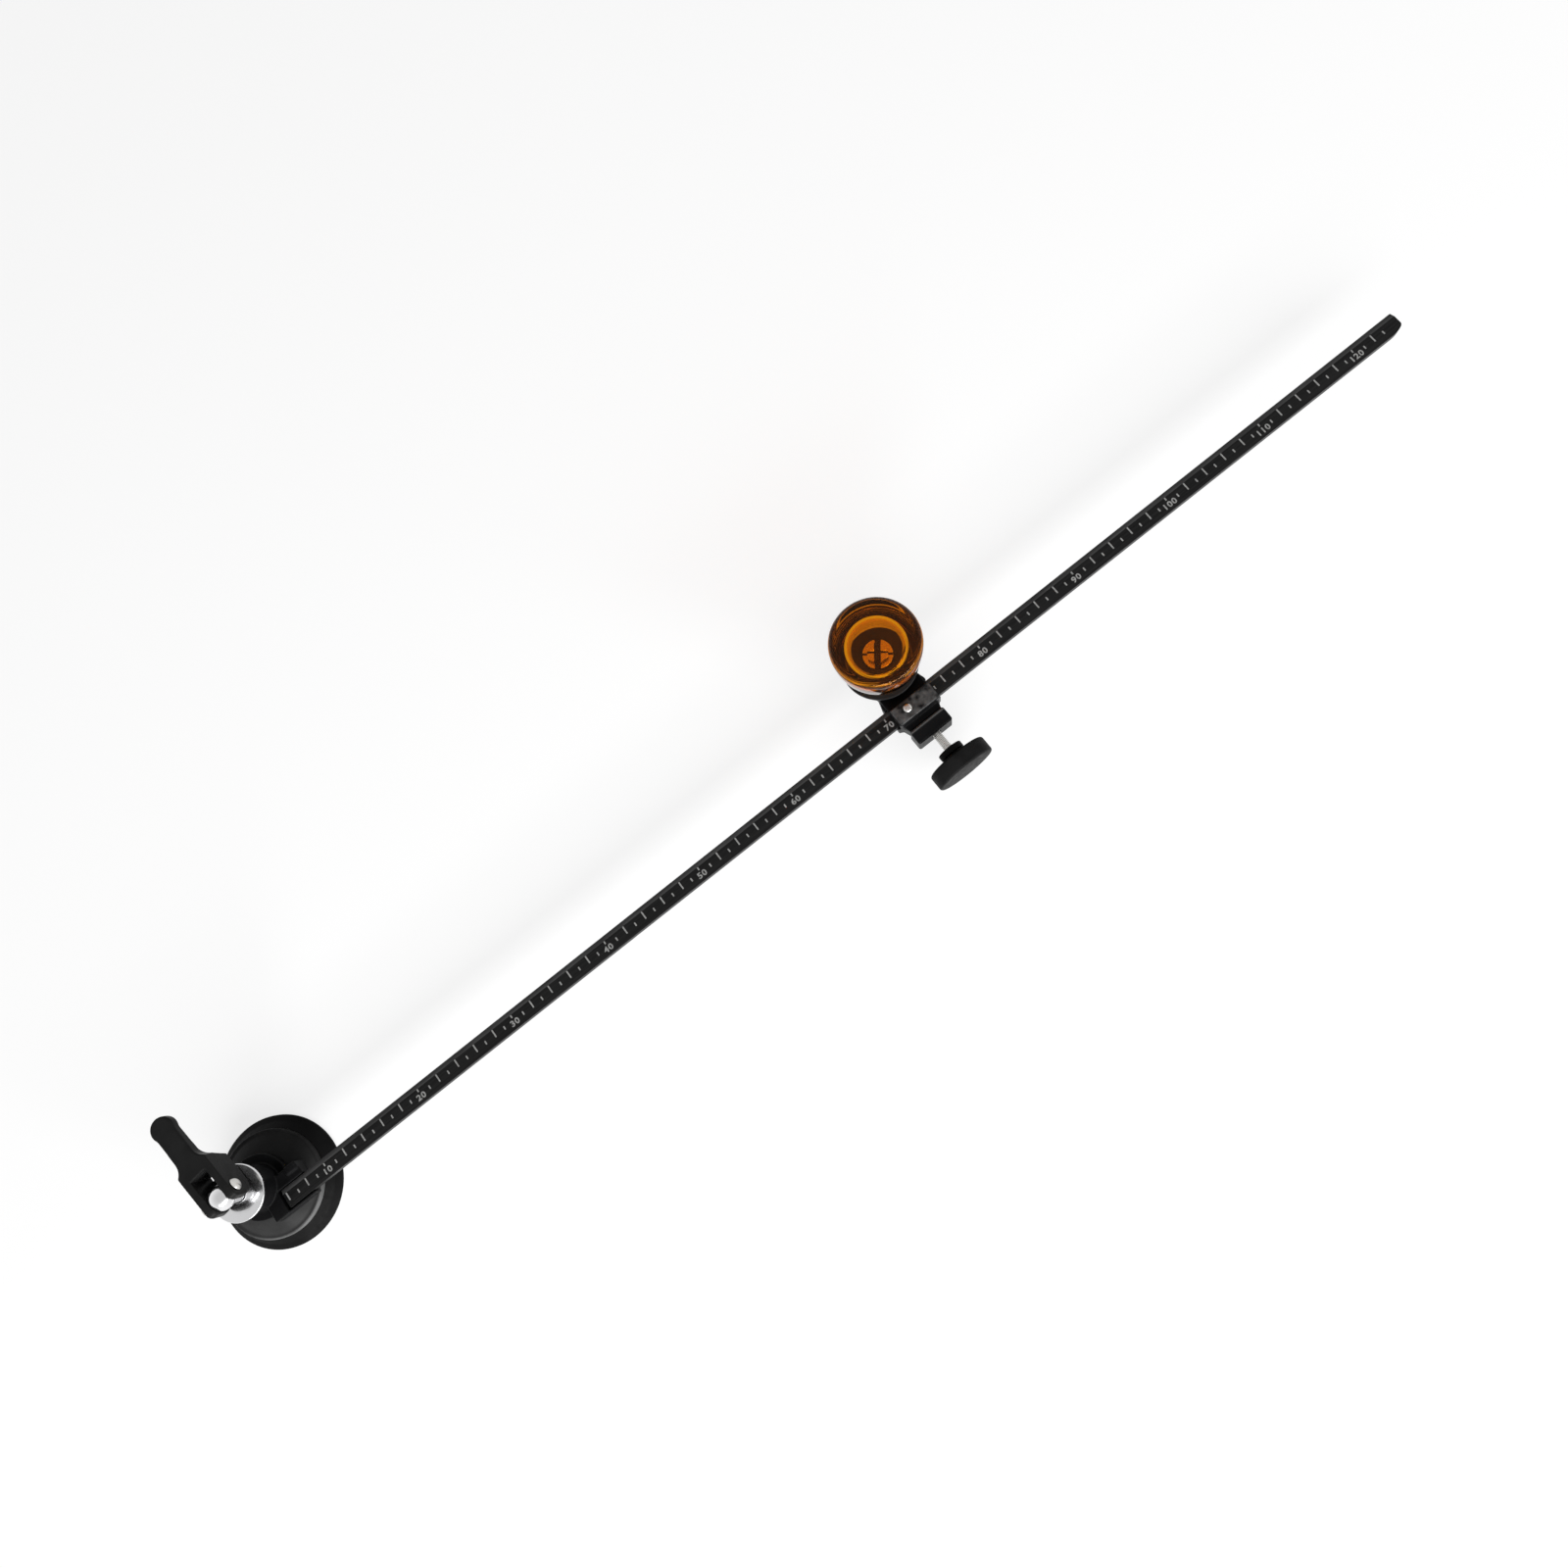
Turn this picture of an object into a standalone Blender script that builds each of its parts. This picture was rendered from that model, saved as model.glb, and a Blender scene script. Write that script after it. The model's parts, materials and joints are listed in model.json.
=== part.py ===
"""Circle cutter for glass: a suction cup with a cam lever, a graduated beam that turns about
the cup, and a sliding carriage with a clamp screw, a round amber grip and a cutting wheel.

Metres, +Z up. The origin is on the cup's turning axis, on the glass. The beam runs along +X,
the grip stands on the +Y side of the beam and the clamp screw on the -Y side.
"""

import math

import bmesh
import bpy

# Clearances
SEAT_GAP = 0.0003
CUT_OVERRUN = 0.002
MERGE_DISTANCE = 0.00001

# Facets of the round pieces
LARGE_STEPS = 40
MEDIUM_STEPS = 28
SMALL_STEPS = 18
ARC_POINTS = 6
BEVEL_ANGLE = math.radians(40)
SHARP_ANGLE = math.radians(35)

# Suction pad of black rubber
PAD_RADIUS = 0.0285
PAD_LIP_WIDTH = 0.0011
PAD_LIP_HEIGHT = 0.0012
PAD_HOLLOW_HEIGHT = 0.0066
PAD_FLOOR_THICKNESS = 0.0013
PAD_TOP_THICKNESS = 0.0018
PAD_BOSS_WALL = 0.0020
PAD_SHOULDER_HEIGHT = 0.0058
PAD_HOLLOW_POINTS = 8

# Hard cover over the pad, with the neck that the beam turns on
COVER_RADIUS = 0.0232
COVER_HEIGHT = 0.0090
COVER_RIM_HEIGHT = 0.0014
COVER_EDGE_ROUND = 0.0012
COVER_WALL = 0.0020
COVER_SHOULDER_RADIUS = 0.0102
COVER_BELL_POWER = 1.5
COVER_BELL_POINTS = 6
NECK_RADIUS = 0.0066
NECK_LENGTH = 0.0161

# Chrome thrust ring under the lever
RING_RADIUS = 0.0118
RING_FLANGE_THICKNESS = 0.0014
RING_COLLAR_RADIUS = 0.0090
RING_COLLAR_HEIGHT = 0.0025
RING_EDGE = 0.0004

# Pull stud with its round eye, and the insert moulded into the pad
STUD_RADIUS = 0.0036
EYE_RADIUS = 0.0053
EYE_THICKNESS = 0.0074
EYE_NECK_DROP = 0.0050
STUD_THREAD_RADIUS = 0.0020
INSERT_RADIUS = 0.0075
INSERT_THICKNESS = 0.0020

# Cam lever, in its own axes: u along the pin, v along the handle, w up
LEVER_YAW = math.radians(7.2)
CAM_LOCKED_RADIUS = 0.0103
CAM_TRAVEL = 0.0056
CAM_POINTS = 10
CHEEK_HALF_WIDTH = 0.0073
CHEEK_FRONT = 0.0154
CHEEK_TOP = 0.0043
CHEEK_BACK_ROUND = 0.0026
CHEEK_BACK_MARGIN = 0.0006
FORK_SHOULDER_START = 0.0170
FORK_SHOULDER_END = 0.0222
FORK_SLOT_END = 0.0125
HANDLE_HALF_WIDTH = 0.0046
HANDLE_THICKNESS = 0.0053
HANDLE_TIP_DROP = 0.0006
HANDLE_TIP_ROUND = 0.0016
TIP_RADIUS = 0.0053
TIP_REACH = 0.0373
LEVER_EDGE = 0.0005

# Lever pin, along u
PIN_RADIUS = 0.0015
PIN_HEAD_RADIUS = 0.00275
PIN_HEAD_HEIGHT = 0.0018
PIN_TAIL = 0.0007
CLIP_RADIUS = 0.0029
CLIP_THICKNESS = 0.0008

# Turning bracket on the neck, with its bush
BUSH_WALL = 0.0008
HUB_WALL = 0.0018
HUB_FLANGE_RADIUS = 0.0138
HUB_FLANGE_HEIGHT = 0.0032
BRACKET_FLOOR = 0.0025
BRACKET_REACH = 0.0206
BRACKET_LUG_WIDTH = 0.0062
BRACKET_WALL = 0.0011
BRACKET_WALL_DROP = 0.0006
BRACKET_RIB_WIDTH = 0.0034
BRACKET_RIB_LENGTH = 0.0060
BRACKET_RIB_HEIGHT = 0.0012
BRACKET_EDGE = 0.0004
BEAM_END_SPACE = 0.0013

# Screws that hold the beam in the bracket
BEAM_SCREW_RADIUS = 0.00105
BEAM_SCREW_HEAD_RADIUS = 0.0022
BEAM_SCREW_HEAD_HEIGHT = 0.0012
BEAM_SCREW_BITE = 0.0023
BEAM_SCREW_FIRST = 0.0038
BEAM_SCREW_PITCH = 0.0055
BEAM_SCREW_NAMES = ("beam_screw_inner", "beam_screw_outer")

# Beam: a flat bar with its back edge bevelled
BEAM_START = 0.0086
BEAM_LENGTH = 0.5950
BEAM_WIDTH = 0.0085
BEAM_THICKNESS = 0.0038
BEAM_OFFSET = 0.01175
BEAM_BEVEL_WIDTH = 0.0023
BEAM_BEVEL_DROP = 0.0010
BEAM_TIP_ROUND_LENGTH = 0.0065
BEAM_TIP_ROUND_WIDTH = 0.0024

# Carriage that slides on the beam
SLIDER_X = 0.3436
TROUGH_HALF_LENGTH = 0.0112
TROUGH_FLOOR = 0.0040
TROUGH_WALL = 0.0013
TROUGH_END_WALL = 0.0007
TROUGH_RIM_DROP = 0.0006
CROWN_HALF_LENGTH = 0.0103
CROWN_THICKNESS = 0.0057
CROWN_FRONT_WALL = 0.0016
CROWN_BACK_INSET = 0.0023
CROWN_EDGE = 0.0005
ARM_END_HALF_WIDTH = 0.0066
CASTING_STEP = 0.0003
ARM_RISE = 0.0014
ARM_THICKNESS = 0.0062

# Clamp block on the front of the carriage
BLOCK_HALF_LENGTH = 0.0088
BLOCK_DEPTH = 0.0068
BLOCK_RISE = 0.0030
BLOCK_HEIGHT = 0.0125
BLOCK_EDGE = 0.0006
GROOVE_WIDTH = 0.0033
GROOVE_DEPTH = 0.0018

# Round seat of the grip on the carriage, and the boss of the wheel holder
GRIP_OFFSET = 0.0095
SEAT_RADIUS = 0.0144
SEAT_EDGE = 0.0008
BOSS_RADIUS = 0.0075
BOSS_LENGTH = 0.0080

# Play screw on top of the carriage
PLAY_SCREW_RADIUS = 0.0010
PLAY_SCREW_HEAD_RADIUS = 0.0019
PLAY_SCREW_HEAD_HEIGHT = 0.0013
PLAY_SCREW_SHIFT = 0.0034
PLAY_SCREW_FORWARD = 0.0018

# Wheel holder, its lock screw, axle and cutting wheel
HOLDER_RADIUS = 0.0030
HOLDER_FLANGE_RADIUS = 0.0046
HOLDER_FLANGE_HEIGHT = 0.0020
HOLDER_SHANK = 0.0065
HOLDER_FORK_RADIUS = 0.0038
HOLDER_TIP_RADIUS = 0.0026
HOLDER_TIP_HEIGHT = 0.0013
HOLDER_TAPER_HEIGHT = 0.0041
HOLDER_SLOT = 0.0016
HOLDER_SLOT_CROWN = 0.0005
LOCK_SCREW_RADIUS = 0.0013
LOCK_SCREW_LENGTH = 0.0035
WHEEL_RADIUS = 0.0030
WHEEL_THICKNESS = 0.0010
WHEEL_EDGE_HEIGHT = 0.0005
AXLE_RADIUS = 0.00045
AXLE_HALF_LENGTH = 0.0027

# Post, bush, base and amber shell of the grip
POST_RADIUS = 0.0030
POST_SHOULDER = 0.0140
POST_HEAD_RADIUS = 0.0048
POST_HEAD_HEIGHT = 0.0026
POST_HEAD_SIDES = 6
POST_THREAD_RADIUS = 0.0019
POST_THREAD_LENGTH = 0.0058
GRIP_BUSH_WALL = 0.0029
BASE_HUB_RADIUS = 0.0130
BASE_HUB_HEIGHT = 0.0037
BASE_RADIUS = 0.0165
BASE_FLANGE_THICKNESS = 0.0015
BASE_EDGE = 0.0004
SPIGOT_HEIGHT = 0.0042
GRIP_BOTTOM_RADIUS = 0.0166
GRIP_TOP_RADIUS = 0.0190
GRIP_HEIGHT = 0.0304
GRIP_SHOULDER_HEIGHT = 0.0250
GRIP_SIDE_SHARES = (1.0, 0.8, 0.6)
GRIP_CROWN_ROUND = 0.0030
GRIP_CROWN_RISE = 0.0007
GRIP_CROWN_SHARES = (0, 0.5)
GRIP_FOOT_EDGE = 0.0005
GRIP_BORE_RADIUS = 0.0128
GRIP_BORE_HEIGHT = 0.0200
GRIP_BORE_ROUND = 0.0034
GRIP_GROOVES = 5
GRIP_GROOVE_FIRST = 0.0040
GRIP_GROOVE_PITCH = 0.0017
GRIP_GROOVE_WIDTH = 0.0007
GRIP_GROOVE_DEPTH = 0.00025

# Clamp screw with its round head, and the shoe that it presses on the beam
SHOE_RADIUS = 0.0022
SHOE_THICKNESS = 0.0023
CLAMP_TRAVEL = 0.0014
ROD_RADIUS = 0.0020
ROD_BITE = 0.0070
CLAMP_STANDOFF = 0.0083
CLAMP_COLLAR_RADIUS = 0.0056
CLAMP_COLLAR_LENGTH = 0.0027
CLAMP_WAIST_RADIUS = 0.0046
CLAMP_FLARE_LENGTH = 0.0018
CLAMP_FLARE_RADIUS = 0.0114
CLAMP_DISC_RADIUS = 0.0136
CLAMP_DISC_THICKNESS = 0.0072
CLAMP_DISC_EDGE = 0.0008
CLAMP_EDGE = 0.0004

# Heights over the glass
COVER_RIM_Z = PAD_SHOULDER_HEIGHT + SEAT_GAP
COVER_SHOULDER_Z = COVER_RIM_Z + COVER_HEIGHT
NECK_TOP_Z = COVER_SHOULDER_Z + NECK_LENGTH
RING_BOTTOM_Z = NECK_TOP_Z + SEAT_GAP
RING_FLANGE_Z = RING_BOTTOM_Z + RING_COLLAR_HEIGHT
RING_TOP_Z = RING_FLANGE_Z + RING_FLANGE_THICKNESS
PIN_Z = RING_TOP_Z + SEAT_GAP + CAM_LOCKED_RADIUS
POCKET_FLOOR_Z = PAD_HOLLOW_HEIGHT + PAD_FLOOR_THICKNESS
INSERT_BOTTOM_Z = POCKET_FLOOR_Z + SEAT_GAP
INSERT_TOP_Z = INSERT_BOTTOM_Z + INSERT_THICKNESS
POCKET_TOP_Z = INSERT_TOP_Z + SEAT_GAP
PAD_TOP_Z = POCKET_TOP_Z + PAD_TOP_THICKNESS
BRACKET_BOTTOM_Z = COVER_SHOULDER_Z + SEAT_GAP
BRACKET_FLOOR_Z = BRACKET_BOTTOM_Z + BRACKET_FLOOR
BEAM_BOTTOM_Z = BRACKET_FLOOR_Z + SEAT_GAP
BEAM_TOP_Z = BEAM_BOTTOM_Z + BEAM_THICKNESS
BEAM_MID_Z = (BEAM_BOTTOM_Z + BEAM_TOP_Z) / 2
CHANNEL_FLOOR_Z = BEAM_BOTTOM_Z - SEAT_GAP
CHANNEL_ROOF_Z = BEAM_TOP_Z + SEAT_GAP
CARRIAGE_BOTTOM_Z = CHANNEL_FLOOR_Z - TROUGH_FLOOR
TROUGH_TOP_Z = BEAM_TOP_Z - TROUGH_RIM_DROP
CROWN_TOP_Z = CHANNEL_ROOF_Z + CROWN_THICKNESS
ARM_TOP_Z = CHANNEL_ROOF_Z + ARM_RISE
ARM_BOTTOM_Z = ARM_TOP_Z - ARM_THICKNESS
BOSS_BOTTOM_Z = ARM_BOTTOM_Z - BOSS_LENGTH
BLOCK_TOP_Z = BEAM_TOP_Z + BLOCK_RISE
GRIP_BASE_Z = ARM_TOP_Z + SEAT_GAP
BASE_FLANGE_Z = GRIP_BASE_Z + BASE_HUB_HEIGHT
BASE_TOP_Z = BASE_FLANGE_Z + BASE_FLANGE_THICKNESS
GRIP_BOTTOM_Z = BASE_TOP_Z + SEAT_GAP
POST_HEAD_Z = GRIP_BASE_Z + POST_SHOULDER
HOLDER_FLANGE_TOP_Z = BOSS_BOTTOM_Z - SEAT_GAP
HOLDER_FLANGE_BOTTOM_Z = HOLDER_FLANGE_TOP_Z - HOLDER_FLANGE_HEIGHT

# Places across the beam
BEAM_FRONT_Y = -BEAM_OFFSET - BEAM_WIDTH / 2
BEAM_BACK_Y = -BEAM_OFFSET + BEAM_WIDTH / 2
CHANNEL_FRONT_Y = BEAM_FRONT_Y - SEAT_GAP
CHANNEL_BACK_Y = BEAM_BACK_Y + SEAT_GAP
CROWN_FRONT_Y = CHANNEL_FRONT_Y - CROWN_FRONT_WALL
CROWN_BACK_Y = CHANNEL_BACK_Y - CROWN_BACK_INSET
TROUGH_FRONT_Y = CHANNEL_FRONT_Y - TROUGH_WALL
TROUGH_BACK_Y = CHANNEL_BACK_Y + TROUGH_WALL
BLOCK_BACK_Y = CROWN_FRONT_Y - GROOVE_WIDTH
BLOCK_FRONT_Y = BLOCK_BACK_Y - BLOCK_DEPTH

# Radii that follow from their neighbours
STUD_BORE_RADIUS = STUD_RADIUS + SEAT_GAP
BUSH_INNER_RADIUS = NECK_RADIUS + SEAT_GAP
BUSH_OUTER_RADIUS = BUSH_INNER_RADIUS + BUSH_WALL
HUB_BORE_RADIUS = BUSH_OUTER_RADIUS + SEAT_GAP
HUB_RADIUS = HUB_BORE_RADIUS + HUB_WALL
PIN_HOLE_RADIUS = PIN_RADIUS + SEAT_GAP
GRIP_BUSH_INNER_RADIUS = POST_RADIUS + SEAT_GAP
GRIP_BUSH_OUTER_RADIUS = GRIP_BUSH_INNER_RADIUS + GRIP_BUSH_WALL
BASE_BORE_RADIUS = GRIP_BUSH_OUTER_RADIUS + SEAT_GAP
SPIGOT_RADIUS = GRIP_BORE_RADIUS - SEAT_GAP
ROD_HOLE_RADIUS = ROD_RADIUS + SEAT_GAP
AXLE_HOLE_RADIUS = AXLE_RADIUS + SEAT_GAP

QUARTER_TURN = math.pi / 2
FULL_TURN = 2 * math.pi


# Scene helpers


def clear_scene():
    for item in list(bpy.data.objects):
        bpy.data.objects.remove(item, do_unlink=True)


def new_collection(name):
    collection = bpy.data.collections.new(name)
    bpy.context.scene.collection.children.link(collection)
    return collection


def finish_material(name, color, roughness, metallic=0.0, transmission=0.0):
    """A Principled material; it is made once and shared by the pieces of one finish."""
    material = bpy.data.materials.get(name)
    if material is None:
        material = bpy.data.materials.new(name)
        material.use_nodes = True
        shader = material.node_tree.nodes["Principled BSDF"]
        shader.inputs["Base Color"].default_value = (*color, 1.0)
        shader.inputs["Roughness"].default_value = roughness
        shader.inputs["Metallic"].default_value = metallic
        shader.inputs["Transmission Weight"].default_value = transmission
        material.diffuse_color = (*color, 1.0)
    return material


def axis_empty(name, location, rotation=(0, 0, 0), parent=None):
    empty = bpy.data.objects.new(name, None)
    empty.location = location
    empty.rotation_euler = rotation
    empty.parent = parent
    PARTS.objects.link(empty)
    return empty


def mesh_object(name, mesh, location, rotation, parent, collection):
    item = bpy.data.objects.new(name, mesh)
    item.location = location
    item.rotation_euler = rotation
    item.parent = parent
    collection.objects.link(item)
    return item


def as_cutter(item):
    """Moves a shape to the cutters: it shapes a piece and isn't one itself."""
    for collection in list(item.users_collection):
        collection.objects.unlink(item)
    CUTTERS.objects.link(item)
    item.hide_render = True
    item.display_type = "WIRE"
    return item


def boolean(item, tool, operation):
    modifier = item.modifiers.new(operation.lower(), "BOOLEAN")
    modifier.operation = operation
    modifier.solver = "EXACT"
    modifier.object = as_cutter(tool)


def cut(item, tool):
    boolean(item, tool, "DIFFERENCE")


def join(item, tool):
    boolean(item, tool, "UNION")


def keep_common(item, tool):
    boolean(item, tool, "INTERSECT")


def round_edges(item, width, segments=1):
    modifier = item.modifiers.new("edges", "BEVEL")
    modifier.width = width
    modifier.segments = segments
    modifier.limit_method = "ANGLE"
    modifier.angle_limit = BEVEL_ANGLE
    modifier.use_clamp_overlap = True


def shade_round(item):
    item.data.shade_smooth()
    item.data.set_sharp_from_angle(angle=SHARP_ANGLE)


def place(item, material):
    item.data.materials.clear()
    item.data.materials.append(material)
    return item


# Shape helpers


def arc(center, radius, start, end, points=ARC_POINTS):
    """Points on an arc from angle start to angle end, in degrees, both ends included."""
    angles = [math.radians(start + (end - start) * i / points) for i in range(points + 1)]
    return [(center[0] + radius * math.cos(a), center[1] + radius * math.sin(a)) for a in angles]


def turned(name, profile, steps, location=(0, 0, 0), rotation=(0, 0, 0), parent=None, ring=False):
    """A profile of (radius, height) points turned about local Z.

    The profile runs down its outer side. A ring's profile closes on itself, and any other
    profile starts and ends on the axis.
    """
    mesh = bpy.data.meshes.new(name)
    vertices = [(radius, 0, height) for radius, height in profile]
    edges = [(i, i + 1) for i in range(len(profile) - 1)]
    if ring:
        edges.append((len(profile) - 1, 0))
    mesh.from_pydata(vertices, edges, [])
    item = mesh_object(name, mesh, location, rotation, parent, PARTS)
    screw = item.modifiers.new("turn", "SCREW")
    screw.axis = "Z"
    screw.angle = FULL_TURN
    screw.steps = steps
    screw.render_steps = steps
    screw.use_merge_vertices = True
    screw.merge_threshold = MERGE_DISTANCE
    screw.use_smooth_shade = True
    return item


def rod(name, radius, bottom, top, steps=SMALL_STEPS, location=(0, 0, 0), rotation=(0, 0, 0), parent=None):
    """A plain round bar along local Z from bottom to top."""
    profile = [(0, top), (radius, top), (radius, bottom), (0, bottom)]
    return turned(name, profile, steps, location, rotation, parent)


def block(name, low, high, parent=None):
    """A box between two corners, from a cube primitive with its scale applied."""
    bpy.ops.mesh.primitive_cube_add(size=1)
    item = bpy.context.object
    item.name = name
    item.data.name = name
    size = [b - a for a, b in zip(low, high)]
    middle = [(a + b) / 2 for a, b in zip(low, high)]
    for vertex in item.data.vertices:
        vertex.co = [c * s + m for c, s, m in zip(vertex.co, size, middle)]
    for collection in list(item.users_collection):
        collection.objects.unlink(item)
    PARTS.objects.link(item)
    item.parent = parent
    return item


def plate(name, outline, bottom, top, location=(0, 0, 0), rotation=(0, 0, 0), parent=None):
    """A flat outline in local XY with straight sides from bottom to top along local Z."""
    curve = bpy.data.curves.new(name, "CURVE")
    curve.dimensions = "2D"
    curve.fill_mode = "BOTH"
    curve.extrude = (top - bottom) / 2
    spline = curve.splines.new("POLY")
    spline.points.add(len(outline) - 1)
    spline.use_cyclic_u = True
    for point, (x, y) in zip(spline.points, outline):
        point.co = (x, y, 0, 1)
    drawn = bpy.data.objects.new(name + "_outline", curve)
    PARTS.objects.link(drawn)
    graph = bpy.context.evaluated_depsgraph_get()
    mesh = bpy.data.meshes.new_from_object(drawn.evaluated_get(graph))
    bpy.data.objects.remove(drawn, do_unlink=True)
    mesh.name = name
    for vertex in mesh.vertices:
        vertex.co.z += (top + bottom) / 2
    weld_mesh(mesh)
    return mesh_object(name, mesh, location, rotation, parent, PARTS)


def weld_mesh(mesh):
    shape = bmesh.new()
    shape.from_mesh(mesh)
    bmesh.ops.remove_doubles(shape, verts=shape.verts, dist=MERGE_DISTANCE)
    bmesh.ops.recalc_face_normals(shape, faces=shape.faces)
    shape.to_mesh(mesh)
    shape.free()


# Materials


def rubber():
    return finish_material("black_rubber", (0.012, 0.012, 0.012), 0.55)


def black_plastic():
    return finish_material("black_plastic", (0.02, 0.02, 0.02), 0.38)


def black_casting():
    return finish_material("black_casting", (0.03, 0.03, 0.032), 0.42)


def black_anodised():
    return finish_material("black_anodised", (0.025, 0.025, 0.026), 0.35, metallic=0.4)


def chrome():
    return finish_material("chrome", (0.82, 0.82, 0.84), 0.08, metallic=1.0)


def steel():
    return finish_material("steel", (0.55, 0.55, 0.56), 0.28, metallic=1.0)


def brass():
    return finish_material("brass", (0.72, 0.52, 0.20), 0.25, metallic=1.0)


def amber():
    return finish_material("amber_acrylic", (0.75, 0.26, 0.02), 0.06, transmission=0.9)


# Suction cup


def build_suction_pad():
    """Rubber pad: a thin lip on the glass, a hollow under it and a boss round the insert."""
    inner_lip = PAD_RADIUS - PAD_LIP_WIDTH
    sphere = (inner_lip ** 2 + PAD_HOLLOW_HEIGHT ** 2) / (2 * PAD_HOLLOW_HEIGHT)
    pocket = INSERT_RADIUS + SEAT_GAP
    boss = pocket + PAD_BOSS_WALL
    hollow = []
    for i in range(PAD_HOLLOW_POINTS + 1):
        radius = inner_lip * (1 - i / PAD_HOLLOW_POINTS)
        height = math.sqrt(sphere ** 2 - radius ** 2) - sphere + PAD_HOLLOW_HEIGHT
        hollow.append((radius, max(height, 0)))
    profile = [
        (0, POCKET_FLOOR_Z),
        (pocket, POCKET_FLOOR_Z),
        (pocket, POCKET_TOP_Z),
        (STUD_BORE_RADIUS, POCKET_TOP_Z),
        (STUD_BORE_RADIUS, PAD_TOP_Z),
        (boss - PAD_LIP_WIDTH, PAD_TOP_Z),
        (boss, PAD_TOP_Z - PAD_LIP_WIDTH),
        (boss, INSERT_TOP_Z),
        (COVER_RADIUS - COVER_WALL, PAD_SHOULDER_HEIGHT),
        (COVER_RADIUS, PAD_SHOULDER_HEIGHT),
        (PAD_RADIUS, PAD_LIP_HEIGHT),
        (PAD_RADIUS, 0),
        *hollow,
    ]
    return place(turned("suction_pad", profile, LARGE_STEPS), rubber())


def cover_bell(radius, top, start):
    """Points down the bell of the cover from its shoulder to its edge."""
    width = radius - start
    drop = COVER_HEIGHT - COVER_RIM_HEIGHT - COVER_EDGE_ROUND
    points = []
    for i in range(COVER_BELL_POINTS + 1):
        share = i / COVER_BELL_POINTS
        points.append((start + width * share, top - drop * share ** COVER_BELL_POWER))
    return points


def build_cup_cover():
    """Hard bell that presses on the pad, with the tall neck that the bracket turns on."""
    rim_top = COVER_RIM_Z + COVER_RIM_HEIGHT
    edge = COVER_RADIUS - COVER_EDGE_ROUND
    outer = cover_bell(edge, COVER_SHOULDER_Z, COVER_SHOULDER_RADIUS)
    inner = cover_bell(edge - COVER_WALL, COVER_SHOULDER_Z - COVER_WALL, COVER_SHOULDER_RADIUS - COVER_WALL)
    profile = [
        (STUD_BORE_RADIUS, NECK_TOP_Z),
        (NECK_RADIUS, NECK_TOP_Z),
        (NECK_RADIUS, COVER_SHOULDER_Z),
        *outer,
        (COVER_RADIUS, rim_top),
        (COVER_RADIUS, COVER_RIM_Z),
        (COVER_RADIUS - COVER_WALL, COVER_RIM_Z),
        *reversed(inner),
        (STUD_BORE_RADIUS, COVER_SHOULDER_Z - COVER_WALL),
    ]
    return place(turned("cup_cover", profile, LARGE_STEPS, ring=True), black_plastic())


def build_thrust_ring():
    """Chrome ring on a short collar on top of the neck: the cam cheeks of the lever bear on it."""
    profile = [
        (STUD_BORE_RADIUS, RING_TOP_Z),
        (RING_RADIUS - RING_EDGE, RING_TOP_Z),
        (RING_RADIUS, RING_TOP_Z - RING_EDGE),
        (RING_RADIUS, RING_FLANGE_Z),
        (RING_COLLAR_RADIUS, RING_FLANGE_Z),
        (RING_COLLAR_RADIUS, RING_BOTTOM_Z),
        (STUD_BORE_RADIUS, RING_BOTTOM_Z),
    ]
    return place(turned("thrust_ring", profile, LARGE_STEPS, ring=True), chrome())


# Pull stud and lever


def build_pull_stud(lever_axis):
    """Chrome stud: a ball-shaped eye with two flats and a long shank down to the insert."""
    waist = math.degrees(math.asin(STUD_RADIUS / EYE_RADIUS))
    ball = arc((0, 0), EYE_RADIUS, 90, waist - 90, ARC_POINTS + ARC_POINTS)
    ball[0] = (0, EYE_RADIUS)
    shank_end = INSERT_TOP_Z + SEAT_GAP - PIN_Z
    thread_end = INSERT_BOTTOM_Z + SEAT_GAP - PIN_Z
    profile = [
        *ball,
        (STUD_RADIUS, shank_end),
        (STUD_THREAD_RADIUS, shank_end),
        (STUD_THREAD_RADIUS, thread_end),
        (0, thread_end),
    ]
    stud = turned("pull_stud", profile, MEDIUM_STEPS, parent=lever_axis)
    half = EYE_THICKNESS / 2
    reach = EYE_RADIUS + CUT_OVERRUN
    for side in (-1, 1):
        low = min(side * half, side * reach)
        high = max(side * half, side * reach)
        flat = block("eye_flat", (low, -reach, -EYE_NECK_DROP), (high, reach, reach), lever_axis)
        cut(stud, flat)
    hole = rod("eye_hole", PIN_HOLE_RADIUS, -reach, reach, SMALL_STEPS, (0, 0, 0), (0, QUARTER_TURN, 0), lever_axis)
    cut(stud, hole)
    return place(stud, chrome())


def build_pad_insert():
    """Steel disc moulded into the pad, on the thread of the stud."""
    bore = STUD_THREAD_RADIUS + SEAT_GAP
    profile = [
        (bore, INSERT_TOP_Z),
        (INSERT_RADIUS, INSERT_TOP_Z),
        (INSERT_RADIUS, INSERT_BOTTOM_Z),
        (bore, INSERT_BOTTOM_Z),
    ]
    return place(turned("pad_insert", profile, MEDIUM_STEPS, ring=True), steel())


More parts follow.
